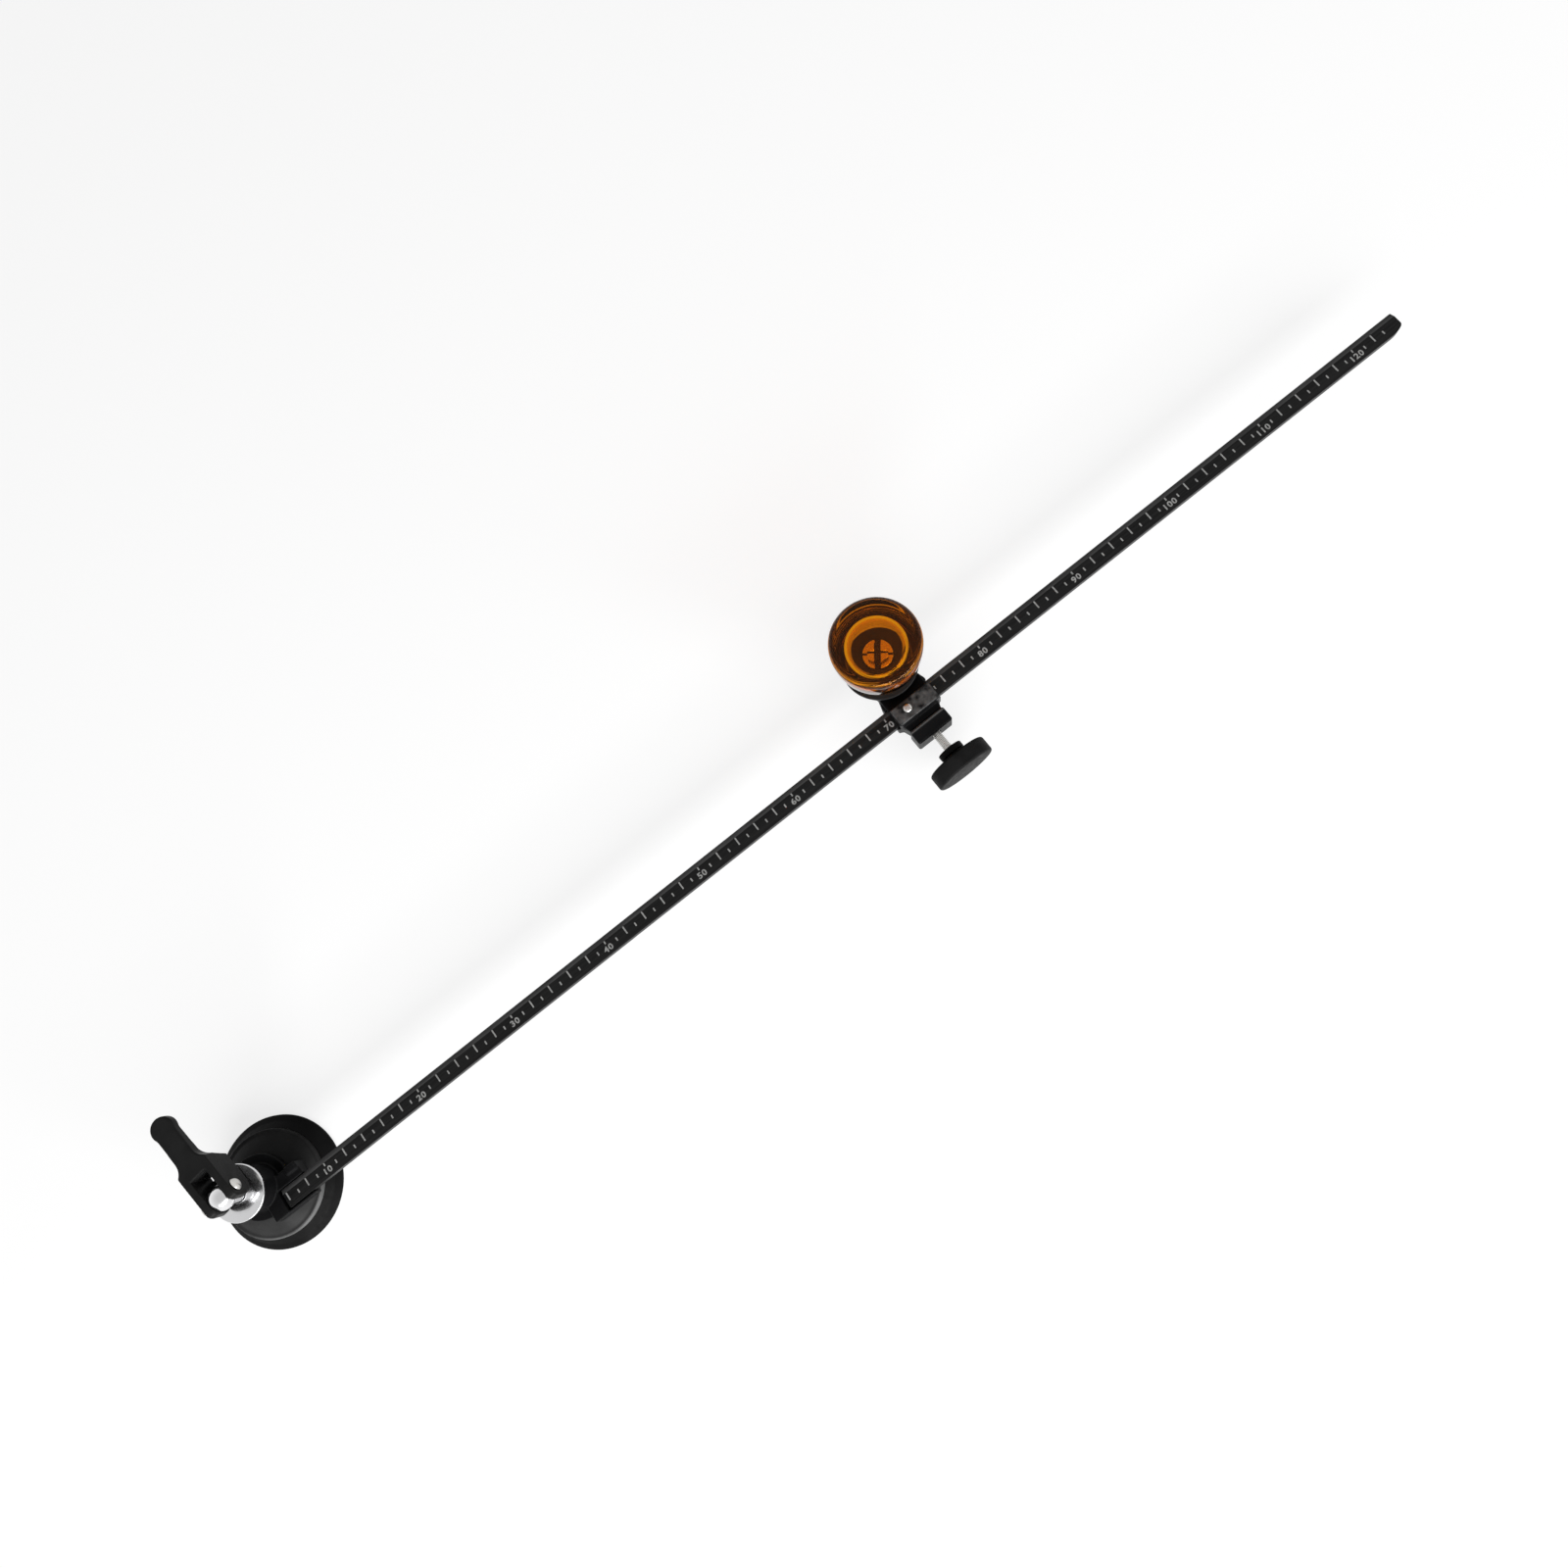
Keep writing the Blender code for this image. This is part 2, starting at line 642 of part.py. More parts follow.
def lever_plan():
    """Plan outline of the lever in (u, v): fork, shoulders, handle and round tip."""
    back = -(CAM_LOCKED_RADIUS - CAM_TRAVEL + CHEEK_BACK_MARGIN)
    corner = (CHEEK_HALF_WIDTH - CHEEK_BACK_ROUND, back + CHEEK_BACK_ROUND)
    tip_start = -math.degrees(math.acos(HANDLE_HALF_WIDTH / TIP_RADIUS))
    width = CHEEK_HALF_WIDTH - HANDLE_HALF_WIDTH
    length = FORK_SHOULDER_END - FORK_SHOULDER_START
    fillet = (width ** 2 + length ** 2) / (2 * width)
    fillet_sweep = math.degrees(math.asin(length / fillet))
    fillet_center = (HANDLE_HALF_WIDTH + fillet, FORK_SHOULDER_END)
    right = [
        *arc(corner, CHEEK_BACK_ROUND, -90, 0, ARC_POINTS),
        *arc(fillet_center, fillet, 180 + fillet_sweep, 180, ARC_POINTS),
        *arc((0, TIP_REACH), TIP_RADIUS, tip_start, 90, ARC_POINTS + ARC_POINTS),
    ]
    left = [(-u, v) for u, v in reversed(right[:-1])]
    return right + left


def cam_profile():
    """Cam side of a cheek in (v, w), from the locked foot round to the released back.

    Its reach towards the ring falls evenly with the lever's angle, so the cheek stays on the
    ring while the stud drops by the cam's travel.
    """
    fall = CAM_TRAVEL / QUARTER_TURN
    points = []
    for i in range(CAM_POINTS + 1):
        angle = QUARTER_TURN * i / CAM_POINTS
        reach = CAM_LOCKED_RADIUS - fall * angle
        v = -reach * math.sin(angle) + fall * math.cos(angle)
        w = -reach * math.cos(angle) - fall * math.sin(angle)
        points.append((v, w))
    return points


def lever_side():
    """Side outline of the lever in (v, w)."""
    back = -(CAM_LOCKED_RADIUS - CAM_TRAVEL)
    end = TIP_REACH + TIP_RADIUS
    tip_top = CHEEK_TOP - HANDLE_TIP_DROP
    bottom = CHEEK_TOP - HANDLE_THICKNESS
    tip_center = end + CUT_OVERRUN
    return [
        (CHEEK_FRONT, -CAM_LOCKED_RADIUS),
        *cam_profile(),
        *reversed(arc((back + CHEEK_BACK_ROUND, CHEEK_TOP - CHEEK_BACK_ROUND), CHEEK_BACK_ROUND, 90, 180)),
        (FORK_SHOULDER_END, CHEEK_TOP),
        (tip_center, tip_top),
        (tip_center, bottom + HANDLE_TIP_DROP),
        (FORK_SHOULDER_END, bottom),
        (FORK_SHOULDER_START, bottom - HANDLE_TIP_ROUND),
    ]


def build_cam_lever(lever_axis):
    """Forked cam lever: its plan and side outlines meet, then slot and pin hole are cut."""
    end = TIP_REACH + TIP_RADIUS
    lever = plate("cam_lever", lever_plan(), -end, end, parent=lever_axis)
    side = plate("lever_side", lever_side(), -end, end, rotation=(QUARTER_TURN, 0, QUARTER_TURN), parent=lever_axis)
    keep_common(lever, side)
    round_edges(lever, LEVER_EDGE, 2)
    half = EYE_THICKNESS / 2 + SEAT_GAP
    slot = block("fork_slot", (-half, -end, -end), (half, FORK_SLOT_END, end), lever_axis)
    cut(lever, slot)
    hole = rod("lever_pin_hole", PIN_HOLE_RADIUS, -end, end, SMALL_STEPS, (0, 0, 0), (0, QUARTER_TURN, 0), lever_axis)
    cut(lever, hole)
    return place(lever, black_plastic())


def build_lever_pin(lever_axis):
    """Steel pin through cheeks and eye, with a domed head on the beam's side."""
    seat = CHEEK_HALF_WIDTH + SEAT_GAP
    tail = -(seat + CLIP_THICKNESS + PIN_TAIL)
    dome = (PIN_HEAD_RADIUS ** 2 + PIN_HEAD_HEIGHT ** 2) / (2 * PIN_HEAD_HEIGHT)
    sweep = math.degrees(math.asin(PIN_HEAD_RADIUS / dome))
    head = arc((0, seat + PIN_HEAD_HEIGHT - dome), dome, 90, 90 - sweep)
    head[0] = (0, seat + PIN_HEAD_HEIGHT)
    profile = [*head, (PIN_RADIUS, seat), (PIN_RADIUS, tail), (0, tail)]
    pin = turned("lever_pin", profile, SMALL_STEPS, rotation=(0, QUARTER_TURN, 0), parent=lever_axis)
    return place(pin, steel())


def build_pin_clip(lever_axis):
    """Retaining ring on the pin's tail."""
    outer = -(CHEEK_HALF_WIDTH + SEAT_GAP)
    inner = outer - CLIP_THICKNESS
    bore = PIN_RADIUS + SEAT_GAP
    profile = [(bore, outer), (CLIP_RADIUS, outer), (CLIP_RADIUS, inner), (bore, inner)]
    clip = turned("pin_clip", profile, SMALL_STEPS, rotation=(0, QUARTER_TURN, 0), parent=lever_axis, ring=True)
    return place(clip, steel())


# Turning bracket and beam


def beam_screw_places():
    first = BEAM_START + BEAM_SCREW_FIRST
    return [first + BEAM_SCREW_PITCH * i for i in range(len(BEAM_SCREW_NAMES))]


def countersunk(name, extra, top, x, parent=None):
    """A countersunk screw from below the bracket floor; extra widens it into its own hole."""
    bottom = BRACKET_BOTTOM_Z - (CUT_OVERRUN if extra else 0)
    neck = BRACKET_BOTTOM_Z + BEAM_SCREW_HEAD_HEIGHT
    profile = [
        (0, top),
        (BEAM_SCREW_RADIUS + extra, top),
        (BEAM_SCREW_RADIUS + extra, neck),
        (BEAM_SCREW_HEAD_RADIUS + extra, BRACKET_BOTTOM_Z),
        (BEAM_SCREW_HEAD_RADIUS + extra, bottom),
        (0, bottom),
    ]
    if not extra:
        profile.pop(4)
    return turned(name, profile, SMALL_STEPS, (x, -BEAM_OFFSET, 0), parent=parent)


def build_pivot_bracket():
    """Cast bracket: a flanged hub on the neck and an offset trough that takes the beam."""
    hub = [
        (0, NECK_TOP_Z),
        (HUB_RADIUS, NECK_TOP_Z),
        (HUB_RADIUS, BRACKET_BOTTOM_Z + HUB_FLANGE_HEIGHT),
        (HUB_FLANGE_RADIUS, BRACKET_BOTTOM_Z + HUB_FLANGE_HEIGHT),
        (HUB_FLANGE_RADIUS, BRACKET_BOTTOM_Z),
        (0, BRACKET_BOTTOM_Z),
    ]
    bracket = turned("pivot_bracket", hub, LARGE_STEPS)
    wall_front = CHANNEL_FRONT_Y - BRACKET_WALL
    lug_back = CHANNEL_BACK_Y + BRACKET_LUG_WIDTH
    body = block("bracket_body", (0, wall_front, BRACKET_BOTTOM_Z), (BRACKET_REACH, lug_back, BEAM_TOP_Z))
    round_edges(body, BRACKET_EDGE)
    join(bracket, body)
    rib_start = BRACKET_REACH - BRACKET_RIB_LENGTH
    rib = block(
        "bracket_rib",
        (rib_start, lug_back - BRACKET_RIB_WIDTH, BRACKET_FLOOR_Z),
        (BRACKET_REACH, lug_back, BEAM_TOP_Z + BRACKET_RIB_HEIGHT),
    )
    round_edges(rib, BRACKET_EDGE)
    join(bracket, rib)
    channel_start = BEAM_START - BEAM_END_SPACE
    channel_end = BRACKET_REACH + CUT_OVERRUN
    roof = BEAM_TOP_Z + CUT_OVERRUN
    channel = block(
        "bracket_channel",
        (channel_start, CHANNEL_FRONT_Y, BRACKET_FLOOR_Z),
        (channel_end, CHANNEL_BACK_Y, roof),
    )
    cut(bracket, channel)
    wall_cut = block(
        "bracket_wall_cut",
        (channel_start, wall_front - CUT_OVERRUN, BEAM_TOP_Z - BRACKET_WALL_DROP),
        (channel_end, CHANNEL_FRONT_Y + SEAT_GAP, roof),
    )
    cut(bracket, wall_cut)
    bore_bottom = BRACKET_BOTTOM_Z - CUT_OVERRUN
    bore_top = NECK_TOP_Z + CUT_OVERRUN
    cut(bracket, rod("hub_bore", HUB_BORE_RADIUS, bore_bottom, bore_top, LARGE_STEPS))
    for x in beam_screw_places():
        cut(bracket, countersunk("bracket_screw_hole", SEAT_GAP, roof, x))
    return place(bracket, black_casting())


def build_pivot_bush():
    """Thin brass bush between the neck and the hub."""
    top = NECK_TOP_Z - SEAT_GAP
    bottom = BRACKET_BOTTOM_Z + SEAT_GAP
    profile = [
        (BUSH_INNER_RADIUS, top),
        (BUSH_OUTER_RADIUS, top),
        (BUSH_OUTER_RADIUS, bottom),
        (BUSH_INNER_RADIUS, bottom),
    ]
    return place(turned("pivot_bush", profile, LARGE_STEPS, ring=True), brass())


def build_bracket_screws():
    """Countersunk screws from below the bracket into the beam."""
    top = BEAM_BOTTOM_Z + BEAM_SCREW_BITE
    for name, x in zip(BEAM_SCREW_NAMES, beam_screw_places()):
        place(countersunk(name, 0, top, x), steel())


def beam_outline():
    """Plan outline of the beam: square corners but for the round front corner of its tip."""
    end = BEAM_START + BEAM_LENGTH
    corner_x = end - BEAM_TIP_ROUND_LENGTH
    corner_y = BEAM_FRONT_Y + BEAM_TIP_ROUND_WIDTH
    corner = []
    for i in range(ARC_POINTS + 1):
        angle = QUARTER_TURN * i / ARC_POINTS
        x = corner_x + BEAM_TIP_ROUND_LENGTH * math.sin(angle)
        y = corner_y - BEAM_TIP_ROUND_WIDTH * math.cos(angle)
        corner.append((x, y))
    return [(BEAM_START, BEAM_BACK_Y), (BEAM_START, BEAM_FRONT_Y), *corner, (end, BEAM_BACK_Y)]


def build_beam():
    """Graduated bar with a bevel along its back edge and blind holes for its two screws."""
    beam = plate("beam", beam_outline(), BEAM_BOTTOM_Z, BEAM_TOP_Z)
    slope = BEAM_BEVEL_DROP / BEAM_BEVEL_WIDTH
    outside = BEAM_BACK_Y + CUT_OVERRUN
    start = (outside, BEAM_TOP_Z - BEAM_BEVEL_DROP - slope * CUT_OVERRUN)
    finish = (BEAM_BACK_Y - BEAM_BEVEL_WIDTH - CUT_OVERRUN, BEAM_TOP_Z + slope * CUT_OVERRUN)
    wedge = [start, (outside, BEAM_TOP_Z + CUT_OVERRUN), (finish[0], BEAM_TOP_Z + CUT_OVERRUN), finish]
    end = BEAM_START + BEAM_LENGTH + CUT_OVERRUN
    bevel = plate("beam_bevel", wedge, BEAM_START - CUT_OVERRUN, end, rotation=(QUARTER_TURN, 0, QUARTER_TURN))
    cut(beam, bevel)
    for x in beam_screw_places():
        top = BEAM_BOTTOM_Z + BEAM_SCREW_BITE + SEAT_GAP
        bottom = BEAM_BOTTOM_Z - CUT_OVERRUN
        hole = rod("beam_hole", BEAM_SCREW_RADIUS + SEAT_GAP, bottom, top, SMALL_STEPS, (x, -BEAM_OFFSET, 0))
        cut(beam, hole)
    return place(beam, black_anodised())


# Carriage


def carriage_outline():
    """Plan outline of the lower casting: clamp web, trough and a tapered arm."""
    right = [
        (BLOCK_HALF_LENGTH - BLOCK_EDGE - CASTING_STEP, BLOCK_BACK_Y - BLOCK_EDGE),
        (CROWN_HALF_LENGTH - CROWN_EDGE - CASTING_STEP, TROUGH_FRONT_Y),
        (TROUGH_HALF_LENGTH, CHANNEL_FRONT_Y - TROUGH_END_WALL),
        (TROUGH_HALF_LENGTH, TROUGH_BACK_Y),
        (ARM_END_HALF_WIDTH, GRIP_OFFSET),
    ]
    left = [(-x, y) for x, y in reversed(right)]
    return right + left


def build_carriage(slider_axis, grip_axis, clamp_axis):
    """Die-cast carriage: it wraps the beam and carries the clamp screw and the grip seat."""
    carriage = plate("carriage", carriage_outline(), CARRIAGE_BOTTOM_Z, TROUGH_TOP_Z, parent=slider_axis)
    crown = block(
        "carriage_crown",
        (-CROWN_HALF_LENGTH, CROWN_FRONT_Y, CARRIAGE_BOTTOM_Z + CASTING_STEP),
        (CROWN_HALF_LENGTH, CROWN_BACK_Y, CROWN_TOP_Z),
        slider_axis,
    )
    round_edges(crown, CROWN_EDGE)
    join(carriage, crown)
    arm_half = CROWN_HALF_LENGTH - CASTING_STEP
    arm = block(
        "carriage_arm",
        (-arm_half, CROWN_BACK_Y - CROWN_BACK_INSET, CHANNEL_FLOOR_Z - CASTING_STEP),
        (arm_half, GRIP_OFFSET - SEAT_RADIUS / 2, ARM_TOP_Z - CASTING_STEP),
        slider_axis,
    )
    join(carriage, arm)
    neck_half = BLOCK_HALF_LENGTH - BLOCK_EDGE - CASTING_STEP
    neck_corner = (neck_half, BLOCK_BACK_Y - BLOCK_EDGE - CASTING_STEP)
    neck_root = (CROWN_HALF_LENGTH - CROWN_EDGE - CASTING_STEP, CHANNEL_FRONT_Y)
    neck_outline = [neck_corner, neck_root, (-neck_root[0], neck_root[1]), (-neck_corner[0], neck_corner[1])]
    neck_top = BLOCK_TOP_Z - GROOVE_DEPTH
    join(carriage, plate("clamp_neck", neck_outline, CHANNEL_FLOOR_Z - TROUGH_WALL, neck_top, parent=slider_axis))
    front = block(
        "clamp_block",
        (-BLOCK_HALF_LENGTH, BLOCK_FRONT_Y, BLOCK_TOP_Z - BLOCK_HEIGHT),
        (BLOCK_HALF_LENGTH, BLOCK_BACK_Y, BLOCK_TOP_Z),
        slider_axis,
    )
    round_edges(front, BLOCK_EDGE)
    join(carriage, front)
    join(carriage, turned("grip_seat", grip_seat_profile(), LARGE_STEPS, parent=grip_axis))
    channel_end = TROUGH_HALF_LENGTH + CUT_OVERRUN
    channel = block(
        "carriage_channel",
        (-channel_end, CHANNEL_FRONT_Y, CHANNEL_FLOOR_Z),
        (channel_end, CHANNEL_BACK_Y, CHANNEL_ROOF_Z),
        slider_axis,
    )
    cut(carriage, channel)
    cut_grip_holes(carriage, grip_axis)
    play_place = (-PLAY_SCREW_SHIFT, -BEAM_OFFSET - PLAY_SCREW_FORWARD, 0)
    hole = rod(
        "play_hole",
        PLAY_SCREW_RADIUS + SEAT_GAP,
        BEAM_MID_Z,
        CROWN_TOP_Z + CUT_OVERRUN,
        SMALL_STEPS,
        play_place,
        parent=slider_axis,
    )
    cut(carriage, hole)
    cut_clamp_holes(carriage, clamp_axis)
    return place(carriage, black_casting())


def grip_seat_profile():
    """Round plate under the grip with the boss of the wheel holder below it."""
    return [
        (0, ARM_TOP_Z),
        (SEAT_RADIUS - SEAT_EDGE, ARM_TOP_Z),
        (SEAT_RADIUS, ARM_TOP_Z - SEAT_EDGE),
        (SEAT_RADIUS, ARM_BOTTOM_Z + SEAT_EDGE),
        (SEAT_RADIUS - SEAT_EDGE, ARM_BOTTOM_Z),
        (BOSS_RADIUS, ARM_BOTTOM_Z),
        (BOSS_RADIUS, BOSS_BOTTOM_Z),
        (0, BOSS_BOTTOM_Z),
    ]


def cut_clamp_holes(carriage, clamp_axis):
    """Screw hole through the clamp block and the pocket of the shoe, along the clamp axis."""
    outside = -BLOCK_FRONT_Y + CUT_OVERRUN
    inside = -CHANNEL_FRONT_Y - SEAT_GAP
    pocket_end = -CHANNEL_FRONT_Y + SHOE_THICKNESS + CLAMP_TRAVEL + SEAT_GAP
    cut(carriage, rod("clamp_hole", ROD_HOLE_RADIUS, inside, outside, SMALL_STEPS, parent=clamp_axis))
    cut(carriage, rod("shoe_pocket", SHOE_RADIUS + SEAT_GAP, inside, pocket_end, SMALL_STEPS, parent=clamp_axis))


def cut_grip_holes(carriage, grip_axis):
    """Bores for the grip post from above and the wheel holder from below."""
    post_bottom = ARM_TOP_Z - POST_THREAD_LENGTH - SEAT_GAP
    post_hole = rod(
        "post_hole",
        POST_THREAD_RADIUS + SEAT_GAP,
        post_bottom,
        ARM_TOP_Z + CUT_OVERRUN,
        parent=grip_axis,
    )
    cut(carriage, post_hole)
    shank_top = HOLDER_FLANGE_TOP_Z + HOLDER_SHANK
    holder_bore = rod(
        "holder_bore",
        HOLDER_RADIUS + SEAT_GAP,
        BOSS_BOTTOM_Z - CUT_OVERRUN,
        shank_top + SEAT_GAP,
        parent=grip_axis,
    )
    cut(carriage, holder_bore)
    lock_hole = rod(
        "lock_hole",
        LOCK_SCREW_RADIUS + SEAT_GAP,
        -BOSS_RADIUS - CUT_OVERRUN,
        -HOLDER_RADIUS,
        location=(0, 0, lock_screw_height()),
        rotation=(QUARTER_TURN, 0, 0),
        parent=grip_axis,
    )
    cut(carriage, lock_hole)


def lock_screw_height():
    return BOSS_BOTTOM_Z + BOSS_LENGTH / 2


def build_play_screw(slider_axis):
    """Small screw on the crown that takes up the play over the beam."""
    seat = CROWN_TOP_Z + SEAT_GAP
    profile = [
        (0, seat + PLAY_SCREW_HEAD_HEIGHT),
        (PLAY_SCREW_RADIUS, seat + PLAY_SCREW_HEAD_HEIGHT),
        (PLAY_SCREW_HEAD_RADIUS, seat + PLAY_SCREW_HEAD_HEIGHT / 2),
        (PLAY_SCREW_HEAD_RADIUS, seat),
        (PLAY_SCREW_RADIUS, seat),
        (PLAY_SCREW_RADIUS, CHANNEL_ROOF_Z),
        (0, CHANNEL_ROOF_Z),
    ]
    place_on_crown = (-PLAY_SCREW_SHIFT, -BEAM_OFFSET - PLAY_SCREW_FORWARD, 0)
    return place(turned("play_screw", profile, SMALL_STEPS, place_on_crown, parent=slider_axis), steel())


# Wheel holder and wheel


def build_wheel_holder(grip_axis, wheel_axis):
    """Steel holder: a shank in the boss, a flange under it and a slotted nose for the wheel."""
    profile = [
        (0, HOLDER_FLANGE_TOP_Z + HOLDER_SHANK),
        (HOLDER_RADIUS, HOLDER_FLANGE_TOP_Z + HOLDER_SHANK),
        (HOLDER_RADIUS, HOLDER_FLANGE_TOP_Z),
        (HOLDER_FLANGE_RADIUS, HOLDER_FLANGE_TOP_Z),
        (HOLDER_FLANGE_RADIUS, HOLDER_FLANGE_BOTTOM_Z),
        (HOLDER_FORK_RADIUS, HOLDER_FLANGE_BOTTOM_Z),
        (HOLDER_FORK_RADIUS, HOLDER_TIP_HEIGHT + HOLDER_TAPER_HEIGHT),
        (HOLDER_TIP_RADIUS, HOLDER_TIP_HEIGHT),
        (0, HOLDER_TIP_HEIGHT),
    ]
    holder = turned("wheel_holder", profile, MEDIUM_STEPS, parent=grip_axis)
    reach = HOLDER_FLANGE_RADIUS + CUT_OVERRUN
    slot_top = WHEEL_RADIUS + WHEEL_RADIUS + HOLDER_SLOT_CROWN
    slot = block("holder_slot", (-HOLDER_SLOT / 2, -reach, -CUT_OVERRUN), (HOLDER_SLOT / 2, reach, slot_top), grip_axis)
    cut(holder, slot)
    hole = rod("axle_hole", AXLE_HOLE_RADIUS, -reach, reach, parent=wheel_axis)
    cut(holder, hole)
    return place(holder, steel())


def build_lock_screw(grip_axis):
    """Headless screw that locks the holder in the boss."""
    inner = HOLDER_RADIUS + SEAT_GAP
    outer = inner + LOCK_SCREW_LENGTH
    screw = rod(
        "lock_screw",
        LOCK_SCREW_RADIUS,
        -outer,
        -inner,
        location=(0, 0, lock_screw_height()),
        rotation=(QUARTER_TURN, 0, 0),
        parent=grip_axis,
    )
    return place(screw, steel())


def build_wheel_axle(wheel_axis):
    return place(rod("wheel_axle", AXLE_RADIUS, -AXLE_HALF_LENGTH, AXLE_HALF_LENGTH, parent=wheel_axis), steel())


def build_cutting_wheel(wheel_axis):
    """Hard cutting wheel with a sharp V edge."""
    half = WHEEL_THICKNESS / 2
    rim = WHEEL_RADIUS - WHEEL_EDGE_HEIGHT
    profile = [
        (AXLE_HOLE_RADIUS, half),
        (rim, half),
        (WHEEL_RADIUS, 0),
        (rim, -half),
        (AXLE_HOLE_RADIUS, -half),
    ]
    wheel = turned("cutting_wheel", profile, LARGE_STEPS, parent=wheel_axis, ring=True)
    return place(wheel, steel())


# Grip


def build_grip_post(grip_axis):
    """Shoulder screw in the seat: the grip turns on it under its six-sided head."""
    thread_bottom = ARM_TOP_Z - POST_THREAD_LENGTH
    profile = [
        (0, POST_HEAD_Z),
        (POST_RADIUS, POST_HEAD_Z),
        (POST_RADIUS, GRIP_BASE_Z),
        (POST_THREAD_RADIUS, GRIP_BASE_Z),
        (POST_THREAD_RADIUS, thread_bottom),
        (0, thread_bottom),
    ]
    post = turned("grip_post", profile, SMALL_STEPS, parent=grip_axis)
    head_bottom = POST_HEAD_Z - SEAT_GAP
    head = rod(
        "post_head",
        POST_HEAD_RADIUS,
        head_bottom,
        head_bottom + POST_HEAD_HEIGHT,
        POST_HEAD_SIDES,
        parent=grip_axis,
    )
    join(post, head)
    return place(post, brass())


def build_grip_bush(grip_axis):
    """Brass bush of the grip, between the seat and the post's head."""
    top = POST_HEAD_Z - SEAT_GAP - SEAT_GAP
    profile = [
        (GRIP_BUSH_INNER_RADIUS, top),
        (GRIP_BUSH_OUTER_RADIUS, top),
        (GRIP_BUSH_OUTER_RADIUS, GRIP_BASE_Z),
        (GRIP_BUSH_INNER_RADIUS, GRIP_BASE_Z),
    ]
    return place(turned("grip_bush", profile, MEDIUM_STEPS, parent=grip_axis, ring=True), brass())


def build_grip_base(grip_axis):
    """Black base of the grip: hub, thin flange, and a spigot that goes up into the amber shell."""
    spigot_top = BASE_TOP_Z + SPIGOT_HEIGHT
    profile = [
        (BASE_BORE_RADIUS, spigot_top),
        (SPIGOT_RADIUS, spigot_top),
        (SPIGOT_RADIUS, BASE_TOP_Z),
        (BASE_RADIUS, BASE_TOP_Z),
        (BASE_RADIUS, BASE_FLANGE_Z + BASE_EDGE),
        (BASE_RADIUS - BASE_EDGE, BASE_FLANGE_Z),
        (BASE_HUB_RADIUS, BASE_FLANGE_Z),
        (BASE_HUB_RADIUS, GRIP_BASE_Z),
        (BASE_BORE_RADIUS, GRIP_BASE_Z),
    ]
    return place(turned("grip_base", profile, LARGE_STEPS, parent=grip_axis, ring=True), black_plastic())


def grip_side(height):
    """Outer radius of the amber shell at a height over its foot."""
    share = min(height / GRIP_SHOULDER_HEIGHT, 1)
    return GRIP_BOTTOM_RADIUS + (GRIP_TOP_RADIUS - GRIP_BOTTOM_RADIUS) * math.sin(QUARTER_TURN * share)


def grip_groove_points():
    """Fine grooves round the lower side of the shell, from the top one down."""
    points = []
    for i in reversed(range(GRIP_GROOVES)):
        middle = GRIP_GROOVE_FIRST + GRIP_GROOVE_PITCH * i
        for shift, depth in ((GRIP_GROOVE_WIDTH / 2, 0), (0, GRIP_GROOVE_DEPTH), (-GRIP_GROOVE_WIDTH / 2, 0)):
            height = middle + shift
            points.append((grip_side(height) - depth, GRIP_BOTTOM_Z + height))
    return points


def build_amber_grip(grip_axis):
    """Clear amber shell: thick crown, flared side with fine grooves, and a bore from below."""
    top = GRIP_BOTTOM_Z + GRIP_HEIGHT
    crown = (GRIP_TOP_RADIUS - GRIP_CROWN_ROUND, top - GRIP_CROWN_RISE - GRIP_CROWN_ROUND)
    dome = [(crown[0] * share, top - GRIP_CROWN_RISE * share ** 2) for share in GRIP_CROWN_SHARES]
    side_heights = [GRIP_SHOULDER_HEIGHT * share for share in GRIP_SIDE_SHARES]
    bore_top = GRIP_BOTTOM_Z + GRIP_BORE_HEIGHT
    bore_corner = (GRIP_BORE_RADIUS - GRIP_BORE_ROUND, bore_top - GRIP_BORE_ROUND)
    profile = [
        *dome,
        *arc(crown, GRIP_CROWN_ROUND, 90, 0),
        *[(grip_side(height), GRIP_BOTTOM_Z + height) for height in side_heights],
        *grip_groove_points(),
        (GRIP_BOTTOM_RADIUS, GRIP_BOTTOM_Z + GRIP_FOOT_EDGE),
        (GRIP_BOTTOM_RADIUS - GRIP_FOOT_EDGE, GRIP_BOTTOM_Z),
        (GRIP_BORE_RADIUS, GRIP_BOTTOM_Z),
        *arc(bore_corner, GRIP_BORE_ROUND, 0, 90),
        (0, bore_top),
    ]
    return place(turned("amber_grip", profile, LARGE_STEPS, parent=grip_axis), amber())


# Clamp screw


def build_clamp_shoe(clamp_axis):
    """Brass shoe between the screw and the beam."""
    inner = -CHANNEL_FRONT_Y
    shoe = rod("clamp_shoe", SHOE_RADIUS, inner, inner + SHOE_THICKNESS, parent=clamp_axis)
    return place(shoe, brass())


def clamp_head_start():
    """Distance of the clamp head's collar from the turning axis, along the clamp axis."""
    return -BLOCK_FRONT_Y + CLAMP_STANDOFF


def build_clamp_screw(clamp_axis):
    """Threaded rod from the shoe out into the round head."""
    inner = -CHANNEL_FRONT_Y + SHOE_THICKNESS + SEAT_GAP
    outer = clamp_head_start() + ROD_BITE
    return place(rod("clamp_screw", ROD_RADIUS, inner, outer, parent=clamp_axis), steel())


